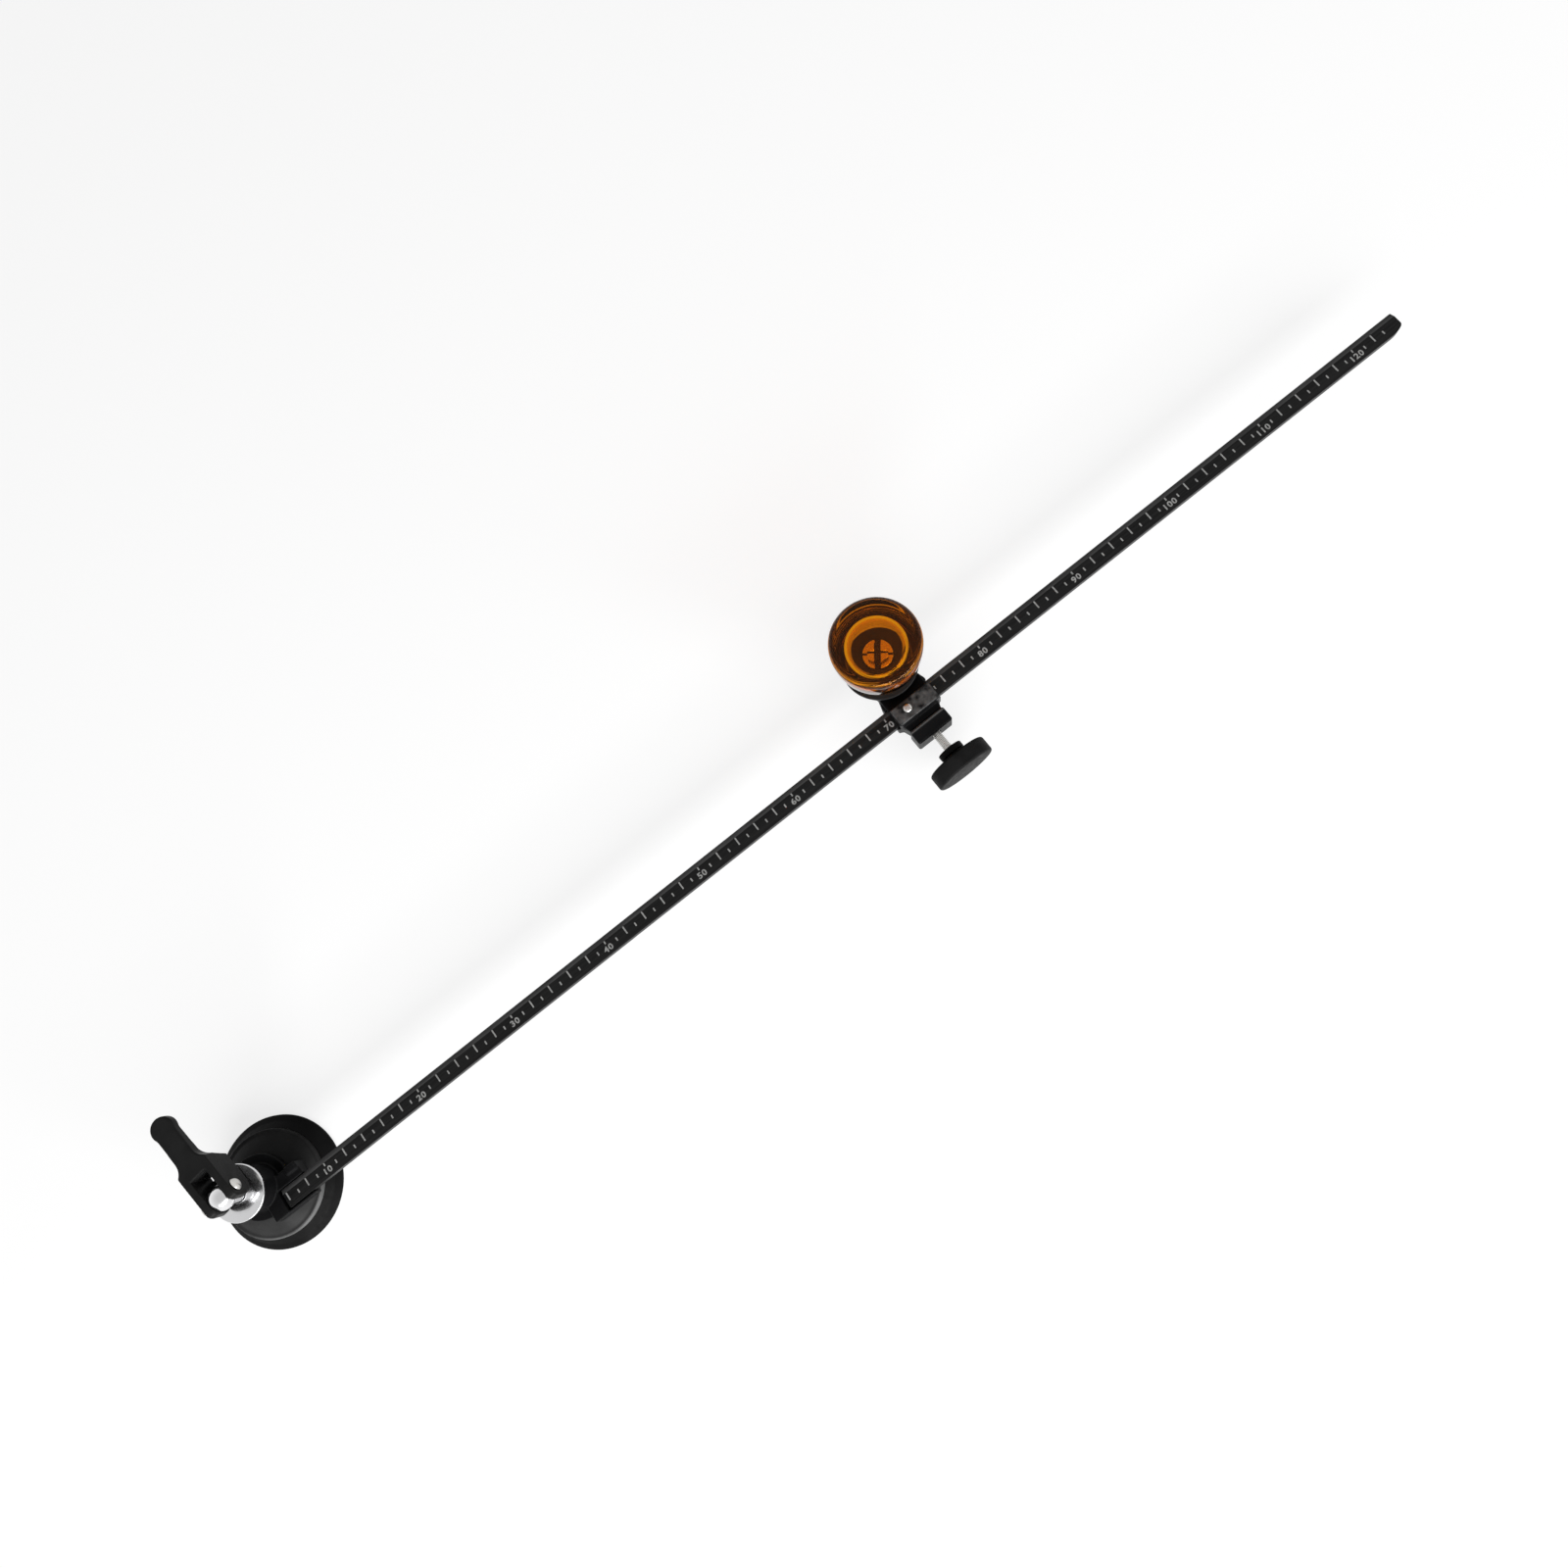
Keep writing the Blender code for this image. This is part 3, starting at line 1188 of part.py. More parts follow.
def build_clamp_knob(clamp_axis):
    """Round head: collar and waist flare out into a thick disc."""
    start = clamp_head_start()
    waist = start + CLAMP_COLLAR_LENGTH
    disc = waist + CLAMP_FLARE_LENGTH
    front = disc + CLAMP_DISC_THICKNESS
    flare = []
    for i in range(ARC_POINTS + 1):
        angle = QUARTER_TURN * i / ARC_POINTS
        radius = CLAMP_FLARE_RADIUS - (CLAMP_FLARE_RADIUS - CLAMP_WAIST_RADIUS) * math.sin(angle)
        flare.append((radius, disc - CLAMP_FLARE_LENGTH * (1 - math.cos(angle))))
    profile = [
        (0, front),
        (CLAMP_DISC_RADIUS - CLAMP_DISC_EDGE, front),
        (CLAMP_DISC_RADIUS, front - CLAMP_DISC_EDGE),
        (CLAMP_DISC_RADIUS, disc + CLAMP_DISC_EDGE),
        (CLAMP_DISC_RADIUS - CLAMP_DISC_EDGE, disc),
        *flare,
        (CLAMP_COLLAR_RADIUS - CLAMP_EDGE, waist),
        (CLAMP_COLLAR_RADIUS, waist - CLAMP_EDGE),
        (CLAMP_COLLAR_RADIUS, start + CLAMP_EDGE),
        (CLAMP_COLLAR_RADIUS - CLAMP_EDGE, start),
        (0, start),
    ]
    knob = turned("clamp_knob", profile, LARGE_STEPS, parent=clamp_axis)
    bore_end = start + ROD_BITE + SEAT_GAP
    cut(knob, rod("knob_bore", ROD_HOLE_RADIUS, start - CUT_OVERRUN, bore_end, parent=clamp_axis))
    return place(knob, black_plastic())


# Assembly


def build_cup():
    build_suction_pad()
    build_cup_cover()
    build_thrust_ring()
    build_pad_insert()
    lever_axis = axis_empty("lever_axis", (0, 0, PIN_Z), (0, 0, LEVER_YAW))
    build_pull_stud(lever_axis)
    build_cam_lever(lever_axis)
    build_lever_pin(lever_axis)
    build_pin_clip(lever_axis)


def build_arm():
    build_pivot_bracket()
    build_pivot_bush()
    build_bracket_screws()
    build_beam()


def build_slider():
    slider_axis = axis_empty("slider_axis", (SLIDER_X, 0, 0))
    grip_axis = axis_empty("grip_axis", (0, GRIP_OFFSET, 0), parent=slider_axis)
    clamp_axis = axis_empty("clamp_axis", (0, 0, BEAM_MID_Z), (QUARTER_TURN, 0, 0), slider_axis)
    wheel_axis = axis_empty("wheel_axis", (0, 0, WHEEL_RADIUS), (0, QUARTER_TURN, 0), grip_axis)
    build_carriage(slider_axis, grip_axis, clamp_axis)
    build_play_screw(slider_axis)
    build_wheel_holder(grip_axis, wheel_axis)
    build_lock_screw(grip_axis)
    build_wheel_axle(wheel_axis)
    build_cutting_wheel(wheel_axis)
    build_grip_post(grip_axis)
    build_grip_bush(grip_axis)
    build_grip_base(grip_axis)
    build_amber_grip(grip_axis)
    build_clamp_shoe(clamp_axis)
    build_clamp_screw(clamp_axis)
    build_clamp_knob(clamp_axis)


clear_scene()
PARTS = new_collection("circle_cutter")
CUTTERS = new_collection("cutters")
build_cup()
build_arm()
build_slider()
for part in PARTS.objects:
    if part.type == "MESH":
        shade_round(part)
bpy.context.view_layer.update()
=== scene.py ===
import json
import math

import bmesh
import bpy
from bpy.props import FloatProperty, FloatVectorProperty, PointerProperty
from mathutils import Matrix, Vector


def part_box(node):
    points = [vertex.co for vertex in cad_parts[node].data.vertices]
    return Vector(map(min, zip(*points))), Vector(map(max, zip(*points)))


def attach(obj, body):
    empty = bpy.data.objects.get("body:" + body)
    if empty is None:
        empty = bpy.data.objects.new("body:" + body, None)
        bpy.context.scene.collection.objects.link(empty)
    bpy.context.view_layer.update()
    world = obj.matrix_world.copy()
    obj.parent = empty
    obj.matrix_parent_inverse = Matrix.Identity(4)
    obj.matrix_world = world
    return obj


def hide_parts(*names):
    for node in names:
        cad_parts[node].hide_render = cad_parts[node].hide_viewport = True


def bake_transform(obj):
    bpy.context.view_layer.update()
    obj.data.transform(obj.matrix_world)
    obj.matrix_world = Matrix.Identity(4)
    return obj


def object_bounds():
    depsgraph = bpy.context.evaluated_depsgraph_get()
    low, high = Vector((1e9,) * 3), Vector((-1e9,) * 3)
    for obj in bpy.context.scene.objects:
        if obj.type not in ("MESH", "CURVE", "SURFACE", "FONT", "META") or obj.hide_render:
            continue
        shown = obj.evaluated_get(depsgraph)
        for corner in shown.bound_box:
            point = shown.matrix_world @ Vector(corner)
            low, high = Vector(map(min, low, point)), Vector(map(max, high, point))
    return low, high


bl_info = {
    "name": "Glass circle cutter",
    "version": (1, 0, 0),
    "blender": (4, 5, 0),
    "location": "3D View > Sidebar > Cutter",
    "description": "Dresses the packed model of a glass circle cutter and lights it",
    "category": "Object",
}

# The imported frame, and what its record says about each node

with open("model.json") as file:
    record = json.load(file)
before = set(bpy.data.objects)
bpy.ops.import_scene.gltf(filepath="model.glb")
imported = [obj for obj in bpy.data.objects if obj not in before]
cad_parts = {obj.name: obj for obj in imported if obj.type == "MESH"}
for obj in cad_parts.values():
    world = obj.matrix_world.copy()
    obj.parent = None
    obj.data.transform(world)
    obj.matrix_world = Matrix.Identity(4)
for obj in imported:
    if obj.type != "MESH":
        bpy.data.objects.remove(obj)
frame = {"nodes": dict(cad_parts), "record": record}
CAD_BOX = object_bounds()
RECORD = frame["record"]
BODY_OF = {node: body for body, nodes in RECORD["behaviour"]["bodies"].items() for node in nodes}
SLOT_OF = {entry["node"]: entry["material_slot"] for entry in RECORD["subparts"]}
JOINTS = {joint["name"]: joint for joint in RECORD["behaviour"]["joints"]}

# Boxes of the nodes that the pieces are measured from

PAD_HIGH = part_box("suction_pad")[1]
COVER_LOW, COVER_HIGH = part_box("cup_cover")
RING_LOW, RING_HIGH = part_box("thrust_ring")
STUD_LOW, STUD_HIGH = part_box("pull_stud")
INSERT_LOW, INSERT_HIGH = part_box("pad_insert")
BEAM_LOW, BEAM_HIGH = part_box("beam")
BASE_LOW, BASE_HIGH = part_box("grip_base")
BUSH_LOW, BUSH_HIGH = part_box("grip_bush")
POST_LOW, POST_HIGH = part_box("grip_post")
AMBER_LOW, AMBER_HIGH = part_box("amber_grip")
SCREW_LOW, SCREW_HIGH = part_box("clamp_screw")
KNOB_LOW, KNOB_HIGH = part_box("clamp_knob")
PLAY_LOW, PLAY_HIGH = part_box("play_screw")
HOLDER_LOW, HOLDER_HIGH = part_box("wheel_holder")
WHEEL_LOW, WHEEL_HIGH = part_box("cutting_wheel")
LOCK_LOW, LOCK_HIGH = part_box("lock_screw")
CARRIAGE_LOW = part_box("carriage")[0]
CROWN_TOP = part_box("carriage")[1].z
# Width over which the painted sheen, painted highlights and painted shade blend in
MASK_BLEND = 0.0004

# Axes of the turning pieces

GRIP_AXIS = Matrix.Translation((*JOINTS["grip_turn"]["pos_m"][:2], 0))
CLAMP_PLACE = JOINTS["clamp_turn"]["pos_m"]
CLAMP_AXIS = Matrix.Translation((CLAMP_PLACE[0], 0, CLAMP_PLACE[2])) @ Matrix.Rotation(math.pi / 2, 4, "X")
WHEEL_AXIS = Matrix.Translation(JOINTS["wheel_spin"]["pos_m"]) @ Matrix.Rotation(math.pi / 2, 4, "Y")
PIN_PLACE = Vector(JOINTS["lever_flip"]["pos_m"])
PIN_YAW = math.atan2(JOINTS["lever_flip"]["axis"][1], JOINTS["lever_flip"]["axis"][0])
LEVER_AXES = Matrix.Translation(PIN_PLACE) @ Matrix.Rotation(PIN_YAW, 4, "Z")
PIN_AXIS = LEVER_AXES @ Matrix.Rotation(math.pi / 2, 4, "Y")
PLAY_AXIS = Matrix.Translation(((PLAY_LOW.x + PLAY_HIGH.x) / 2, (PLAY_LOW.y + PLAY_HIGH.y) / 2, 0))

# How finely the pieces are made

TURN_STEPS = 96
SMALL_STEPS = 48
ARC_STEPS = 6
BELL_STEPS = 20
WELD = 0.000002
DIGIT_SHARE = 0.70
DIGIT_WEIGHT_SHARE = 0.035
DIGIT_SPACE_SHARE = 1.12
DIGIT_WIDTH_SHARE = 1.15
SHARP_ANGLE = math.radians(38)
BEVEL_ANGLE = math.radians(35)
CROSS_ANGLE = math.radians(52)
FULL_TURN = 2 * math.pi
QUARTER_TURN = math.pi / 2


def length(name, description, default):
    return FloatProperty(name=name, description=description, default=default, min=0, unit="LENGTH", precision=5)


def tint(name, description, default):
    return FloatVectorProperty(name=name, description=description, default=default, min=0, max=1, subtype="COLOR")


# Sizes and colours that a user would change


class CupSizes(bpy.types.PropertyGroup):
    pad_lip: length("Pad lip", "Width of the rubber lip on the glass", 0.0011)
    pad_lip_height: length("Lip height", "Height of the pad's outer edge", 0.0012)
    pad_shoulder: length("Pad shoulder", "Height of the pad under the cover's edge", 0.0058)
    pad_sag: length("Pad sag", "How far the pad's slope sags below a straight line", 0.0005)
    hollow_height: length("Hollow height", "Height of the hollow under the pad", 0.0066)
    boss_wall: length("Boss wall", "Rubber round the insert", 0.0020)
    seat_gap: length("Seat gap", "Gap between pieces that touch", 0.0003)
    cover_wall: length("Cover wall", "Thickness of the hard cover", 0.0020)
    cover_shoulder: length("Cover shoulder", "Radius of the flat round the neck", 0.0102)
    cover_height: length("Cover height", "Height of the bell under the neck", 0.0090)
    cover_bead: length("Cover bead", "Width of the rounded bead at the cover's edge", 0.0012)
    neck_radius: length("Neck radius", "Radius of the neck that the arm turns on", 0.0066)
    ring_flange: length("Ring flange", "Thickness of the chrome ring's flange", 0.0014)
    ring_collar: length("Ring collar", "Radius of the chrome ring's collar", 0.0090)


class LeverSizes(bpy.types.PropertyGroup):
    stud_radius: length("Stud radius", "Radius of the pull stud's shank", 0.0036)
    stud_thread: length("Stud thread", "Radius of the stud's thread in the insert", 0.0020)
    eye_width: length("Eye width", "Width of the stud's eye between its flats", 0.0074)
    eye_drop: length("Eye drop", "How far the flats reach below the pin", 0.0050)
    pin_radius: length("Pin radius", "Radius of the lever's pin", 0.0015)
    fork_half: length("Fork half width", "Half the width of the lever's fork", 0.0073)
    pin_head: length("Pin head", "Radius of the pin's domed head", 0.00275)
    pin_dome: length("Pin dome", "Height of the pin's domed head", 0.0018)
    clip_radius: length("Clip radius", "Radius of the retaining ring", 0.0029)
    clip_thickness: length("Clip thickness", "Thickness of the retaining ring", 0.0008)
    pin_tail: length("Pin tail", "How far the pin stands out of its ring", 0.0007)
    surface_step: length("Surface step", "Size of the cells that the lever's surface is made of", 0.00022)
    handle_start: length("Handle start", "Distance from the pin to where the fork becomes the handle", 0.0170)


class BeamSizes(bpy.types.PropertyGroup):
    bevel: length("Bevel", "Width of the beam's bevelled edge", 0.0023)
    first_label: length("First label", "Distance of the first label from the turning axis", 0.0303)
    label_step: length("Label step", "Distance between two labels", 0.0500)
    mark_step: length("Mark step", "Distance between two marks", 0.0050)
    mark_width: length("Mark width", "Width of a mark", 0.0006)
    long_mark: length("Long mark", "Length of every other mark, from the bevel", 0.0035)
    label_mark: length("Label mark", "Length of the mark over a label", 0.0013)
    short_mark: length("Short mark", "Length of the marks between", 0.0016)
    short_start: length("Short mark start", "Distance of the short marks from the bevel", 0.0018)
    digit_height: length("Digit height", "Height of the printed digits", 0.0025)
    digit_drop: length("Digit drop", "Distance from the beam's middle to the digits' middle", 0.0016)
    print_height: length("Print height", "How far the print stands up from the beam", 0.00004)
    edge: length("Edge", "Rounding of the beam's edges", 0.00025)


class CarriageSizes(bpy.types.PropertyGroup):
    surface_step: length("Surface step", "Size of the cells that the casting's surface is made of", 0.00025)
    play_head: length("Play screw head", "Radius of the play screw's head", 0.0019)
    play_shank: length("Play screw shank", "Radius of the play screw", 0.0010)
    play_head_height: length("Play screw head height", "Height of the play screw's head", 0.0013)
    play_slot: length("Play screw slot", "Width of the play screw's slot", 0.0006)
    socket: length("Socket", "Radius of the lock screw's six-sided socket", 0.0008)
    block_depth: length("Block depth", "Depth of the clamp block, from its front to the crown", 0.0068)
    block_drop: length("Block drop", "Height of the crown over the clamp block", 0.0030)


class WheelSizes(bpy.types.PropertyGroup):
    shank_radius: length("Shank radius", "Radius of the holder's shank", 0.0030)
    shank_length: length("Shank length", "Length of the holder's shank in the boss", 0.0065)
    flange_height: length("Flange height", "Height of the holder's flange", 0.0020)
    nose_radius: length("Nose radius", "Radius of the holder's nose", 0.0038)
    tip_radius: length("Tip radius", "Radius of the holder's tip", 0.0026)
    taper_height: length("Taper height", "Height of the holder's tapered tip", 0.0041)
    slot_width: length("Slot width", "Width of the slot for the wheel", 0.0016)
    slot_crown: length("Slot crown", "Free height over the wheel", 0.0005)
    axle_radius: length("Axle hole", "Radius of the holes for the axle", 0.00075)
    edge_height: length("Wheel edge", "Height of the wheel's V edge", 0.0005)


class GripSizes(bpy.types.PropertyGroup):
    base_hub: length("Base hub", "Radius of the black base's hub", 0.0130)
    base_flange: length("Base flange", "Thickness of the black base's flange", 0.0015)
    base_radius: length("Base radius", "Radius of the black base's flange", 0.0165)
    spigot: length("Spigot", "Radius of the base's spigot in the amber shell", 0.0125)
    base_bore: length("Base bore", "Radius of the base's bore", 0.0065)
    bush_bore: length("Bush bore", "Radius of the brass bush's bore", 0.0033)
    post_radius: length("Post radius", "Radius of the post", 0.0030)
    post_thread: length("Post thread", "Radius of the post's thread", 0.0019)
    post_head: length("Post head", "Height of the post's six-sided head", 0.0026)
    recess_depth: length("Recess depth", "Depth of the cross in the post's head", 0.0014)
    recess_wide: length("Recess wide arm", "Width of the cross's wide arm", 0.0026)
    recess_narrow: length("Recess narrow arm", "Width of the cross's narrow arm", 0.0009)
    foot_radius: length("Foot radius", "Radius of the amber shell's foot", 0.0147)
    shoulder_height: length("Shoulder height", "Height at which the amber shell is widest", 0.0260)
    crown_round: length("Crown round", "Radius of the amber shell's upper edge", 0.0032)
    crown_rise: length("Crown rise", "Rise of the amber shell's domed top", 0.0007)
    bore_radius: length("Bore radius", "Radius of the amber shell's bore", 0.0128)
    bore_height: length("Bore height", "Height of the amber shell's bore", 0.0200)
    bore_round: length("Bore round", "Rounding at the end of the bore", 0.0034)
    groove_first: length("First groove", "Height of the lowest groove over the foot", 0.0040)
    groove_pitch: length("Groove pitch", "Distance between two grooves", 0.0017)
    groove_width: length("Groove width", "Width of a groove", 0.0007)
    groove_depth: length("Groove depth", "Depth of a groove", 0.00025)


class ClampSizes(bpy.types.PropertyGroup):
    disc_thickness: length("Disc thickness", "Thickness of the round head", 0.0072)
    disc_round: length("Disc round", "Rounding of the head's edges", 0.0010)
    flare_length: length("Flare length", "Length of the flare behind the disc", 0.0018)
    flare_radius: length("Flare radius", "Radius where the flare meets the disc", 0.0114)
    waist: length("Waist", "Radius of the waist", 0.0046)
    collar: length("Collar", "Radius of the collar", 0.0056)
    collar_length: length("Collar length", "Length of the collar", 0.0027)
    edge: length("Edge", "Rounding of the small edges", 0.0004)
    thread_radius: length("Thread radius", "Outer radius of the thread", 0.0020)
    thread_depth: length("Thread depth", "Depth of the thread", 0.00035)
    thread_pitch: length("Thread pitch", "Pitch of the thread", 0.0007)


class FinishColours(bpy.types.PropertyGroup):
    rubber: tint("Rubber", "Colour of the pad", (0.006, 0.006, 0.006))
    plastic: tint("Plastic", "Colour of the black plastic", (0.017, 0.017, 0.017))
    casting: tint("Casting", "Colour of the painted castings", (0.006, 0.006, 0.0064))
    anodised: tint("Anodised", "Colour of the beam", (0.009, 0.009, 0.009))
    # Pale colour laid on as painted sheen on the crown's top, as painted highlights on the clamp block and the cover's
    # bead, and on the beam's bevel as partly wear and partly painted highlight
    highlight_and_wear: tint("Rubbed", "Colour of edges and tops that are rubbed bare", (0.11, 0.11, 0.11))
    chrome: tint("Chrome", "Colour of the chrome", (0.83, 0.83, 0.84))
    steel: tint("Steel", "Colour of the steel", (0.60, 0.59, 0.57))
    brass: tint("Brass", "Colour of the brass", (0.95, 0.90, 0.35))
    amber: tint("Amber", "Colour that the amber acrylic lets through", (0.90, 0.76, 0.0))
    amber_face: tint("Amber face", "Colour that light takes on at each face of the amber", (0.92, 0.58, 0.06))
    amber_shine: tint("Amber shine", "Colour of the reflections on the amber", (0.50, 0.26, 0.13))
    amber_shade: tint("Amber shade", "Colour of the light that falls through the amber", (0.75, 0.52, 0.16))
    printing: tint("Print", "Colour of the scale", (0.50, 0.50, 0.49))
    floor: tint("Floor", "Colour of the floor", (0.38, 0.38, 0.38))


class StageSizes(bpy.types.PropertyGroup):
    camera_place: FloatVectorProperty(
        name="Camera place", description="Where the camera stands", default=(0.28022, -0.11741, 0.53035), unit="LENGTH"
    )
    camera_turn: FloatVectorProperty(
        name="Camera turn",
        description="How the camera is turned",
        default=(math.radians(9.88613), math.radians(7.68278), math.radians(-37.68874)),
        subtype="EULER",
    )
    camera_lens: FloatProperty(name="Lens", description="Focal length in millimetres", default=28.421)
    floor_size: length("Floor size", "Side of the floor", 6.0)


SETTINGS = {
    "cutter_cup": CupSizes,
    "cutter_lever": LeverSizes,
    "cutter_beam": BeamSizes,
    "cutter_carriage": CarriageSizes,
    "cutter_wheel": WheelSizes,
    "cutter_grip": GripSizes,
    "cutter_clamp": ClampSizes,
    "cutter_finish": FinishColours,
    "cutter_stage": StageSizes,
}


# Outlines


def corner_arc(before, corner, after, radius):
    """Points of the arc that rounds one corner of an outline."""
    back = (before - corner).normalized()
    ahead = (after - corner).normalized()
    angle = back.angle(ahead)
    center = corner + (back + ahead).normalized() * radius / math.sin(angle / 2)
    setback = radius / math.tan(angle / 2)
    start = corner + back * setback - center
    finish = corner + ahead * setback - center
    sweep = math.pi - angle
    points = []
    for i in range(ARC_STEPS + 1):
        share = i / ARC_STEPS
        first = math.sin((1 - share) * sweep) / math.sin(sweep)
        second = math.sin(share * sweep) / math.sin(sweep)
        points.append(tuple(center + start * first + finish * second))
    return points


def rounded(outline, closed=False):
    """Outline of (across, up) or (across, up, radius) points; a radius rounds its corner."""
    places = [Vector(point[:2]) for point in outline]
    points = []
    for i, point in enumerate(outline):
        inner = closed or 0 < i < len(outline) - 1
        if len(point) > 2 and inner:
            after = places[(i + 1) % len(places)]
            points.extend(corner_arc(places[i - 1], places[i], after, point[2]))
        else:
            points.append(tuple(point[:2]))
    return points


def curve_between(start, finish, power, steps):
    """Points that go across evenly and fall by a power of the way, both ends included."""
    points = []
    for i in range(steps + 1):
        share = i / steps
        across = start[0] + (finish[0] - start[0]) * share
        points.append((across, start[1] + (finish[1] - start[1]) * share ** power))
    return points


# Shapes


def turned(outline, axis=Matrix(), closed=False, steps=TURN_STEPS):
    """A bmesh of an outline of (radius, height) points, spun about an axis."""
    shape = bmesh.new()
    verts = [shape.verts.new((radius, 0, height)) for radius, height in outline]
    pairs = list(zip(verts, verts[1:]))
    if closed:
        pairs.append((verts[-1], verts[0]))
    edges = [shape.edges.new(pair) for pair in pairs]
    bmesh.ops.spin(
        shape, geom=verts + edges, cent=(0, 0, 0), axis=(0, 0, 1), dvec=(0, 0, 0),
        angle=FULL_TURN, steps=steps, use_merge=True, use_duplicate=False,
    )
    bmesh.ops.remove_doubles(shape, verts=shape.verts, dist=WELD)
    bmesh.ops.recalc_face_normals(shape, faces=shape.faces)
    shape.transform(axis)
    return shape


def prism(outline, low, high, axis=Matrix()):
    """A bmesh of an outline in XY, drawn out from low to high along Z."""
    shape = bmesh.new()
    face = shape.faces.new([shape.verts.new((x, y, low)) for x, y in outline])
    grown = bmesh.ops.extrude_face_region(shape, geom=[face])
    moved = [item for item in grown["geom"] if isinstance(item, bmesh.types.BMVert)]
    bmesh.ops.translate(shape, vec=(0, 0, high - low), verts=moved)
    bmesh.ops.recalc_face_normals(shape, faces=shape.faces)
    shape.transform(axis)
    return shape


def box_shape(low, high, axis=Matrix()):
    shape = bmesh.new()
    bmesh.ops.create_cube(shape, size=1)
    size = [b - a for a, b in zip(low, high)]
    middle = [(a + b) / 2 for a, b in zip(low, high)]
    bmesh.ops.transform(shape, matrix=Matrix.Translation(middle) @ Matrix.Diagonal((*size, 1)), verts=shape.verts)
    shape.transform(axis)
    return shape


def hexagon(radius):
    return [(radius * math.cos(FULL_TURN * i / 6), radius * math.sin(FULL_TURN * i / 6)) for i in range(6)]


# Objects


def as_object(name, shape):
    mesh = bpy.data.meshes.new(name)
    shape.to_mesh(mesh)
    shape.free()
    piece = bpy.data.objects.new(name, mesh)
    bpy.context.scene.collection.objects.link(piece)
    return piece


def copy_of_node(name, node):
    """A copy of a CAD node whose loose triangles are merged into one surface."""
    shape = bmesh.new()
    shape.from_mesh(frame["nodes"][node].data)
    bmesh.ops.remove_doubles(shape, verts=shape.verts, dist=WELD)
    bmesh.ops.dissolve_limit(
        shape, angle_limit=math.radians(1), verts=shape.verts, edges=shape.edges, use_dissolve_boundaries=False
    )
    return as_object(name, shape)


def settle(piece):
    """Applies a piece's modifiers, so that its mesh is what is seen."""
    graph = bpy.context.evaluated_depsgraph_get()
    mesh = bpy.data.meshes.new_from_object(piece.evaluated_get(graph))
    piece.modifiers.clear()
    piece.data = mesh


def carve(piece, shape, operation="DIFFERENCE"):
    tool = as_object("tool", shape)
    modifier = piece.modifiers.new("carve", "BOOLEAN")
    modifier.operation = operation
    modifier.solver = "EXACT"
    modifier.object = tool
    settle(piece)
    bpy.data.objects.remove(tool, do_unlink=True)


def round_edges(piece, width, segments=2):
    bevel = piece.modifiers.new("edges", "BEVEL")
    bevel.width = width
    bevel.segments = segments
    bevel.limit_method = "ANGLE"
    bevel.angle_limit = BEVEL_ANGLE
    settle(piece)
    piece.data.shade_smooth()
    normals = piece.modifiers.new("normals", "WEIGHTED_NORMAL")
    normals.keep_sharp = True
    settle(piece)


def cast_surface(piece, step, rounds):
    """Remakes a piece's surface in small cells and evens it out, which rounds every edge."""
    cells = piece.modifiers.new("cells", "REMESH")
    cells.mode = "VOXEL"
    cells.voxel_size = step
    settle(piece)
    even_out(piece, rounds)


def even_out(piece, rounds, share_of=None):
    """Evens a piece's surface out, everywhere or as far as a function of the place says."""
    even = piece.modifiers.new("even", "SMOOTH")
    even.factor = 0.5
    even.iterations = rounds
    if share_of:
        group = piece.vertex_groups.new(name="softer")
        for vert in piece.data.vertices:
            group.add([vert.index], share_of(vert.co), "REPLACE")
        even.vertex_group = group.name
    settle(piece)
    piece.vertex_groups.clear()


def dress(piece, node, look=None, stands_in=True):
    """Gives a piece the material of its node's slot, or of a look, and hides the node that it stands for."""
    piece.data.shade_smooth()
    piece.data.set_sharp_from_angle(angle=SHARP_ANGLE)
    piece.data.materials.clear()
    piece.data.materials.append(finish(look or SLOT_OF[node]))
    if stands_in:
        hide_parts(node)


def finish_piece(piece, node, look=None, stands_in=True):
    """Dresses a piece and gives it the body of its node."""
    dress(piece, node, look, stands_in)
    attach(piece, BODY_OF[node])


# Materials


def start_material(name):
    material = bpy.data.materials.new(name)
    material.use_nodes = True
    tree = material.node_tree
    coords = tree.nodes.new("ShaderNodeTexCoord")
    return material, tree, tree.nodes["Principled BSDF"], coords.outputs["Object"]


def noise(tree, coords, scale, detail=3.0, stretch=(1, 1, 1)):
    mapping = tree.nodes.new("ShaderNodeMapping")
    mapping.inputs["Scale"].default_value = stretch
    tree.links.new(coords, mapping.inputs["Vector"])
    node = tree.nodes.new("ShaderNodeTexNoise")
    node.inputs["Scale"].default_value = scale
    node.inputs["Detail"].default_value = detail
    tree.links.new(mapping.outputs["Vector"], node.inputs["Vector"])
    return node.outputs["Fac"]


def spread(tree, share, low, high, socket):
    """Drives a socket from low to high as a noise goes from its dark to its light places."""
    node = tree.nodes.new("ShaderNodeMapRange")
    node.inputs["From Min"].default_value = 0.3
    node.inputs["From Max"].default_value = 0.7
    node.inputs["To Min"].default_value = low
    node.inputs["To Max"].default_value = high
    tree.links.new(share, node.inputs["Value"])
    tree.links.new(node.outputs["Result"], socket)


def shade_between(tree, share, dark, light, socket, start=0.35, finish=0.65):
    ramp = tree.nodes.new("ShaderNodeValToRGB")
    ramp.color_ramp.elements[0].position = start
    ramp.color_ramp.elements[0].color = (*dark, 1)
    ramp.color_ramp.elements[1].position = finish
    ramp.color_ramp.elements[1].color = (*light, 1)
    tree.links.new(share, ramp.inputs["Fac"])
    tree.links.new(ramp.outputs["Color"], socket)


def relief(tree, shader, height, distance, strength):
    bump = tree.nodes.new("ShaderNodeBump")
    bump.inputs["Distance"].default_value = distance
    bump.inputs["Strength"].default_value = strength
    tree.links.new(height, bump.inputs["Height"])
    tree.links.new(bump.outputs["Normal"], shader.inputs["Normal"])


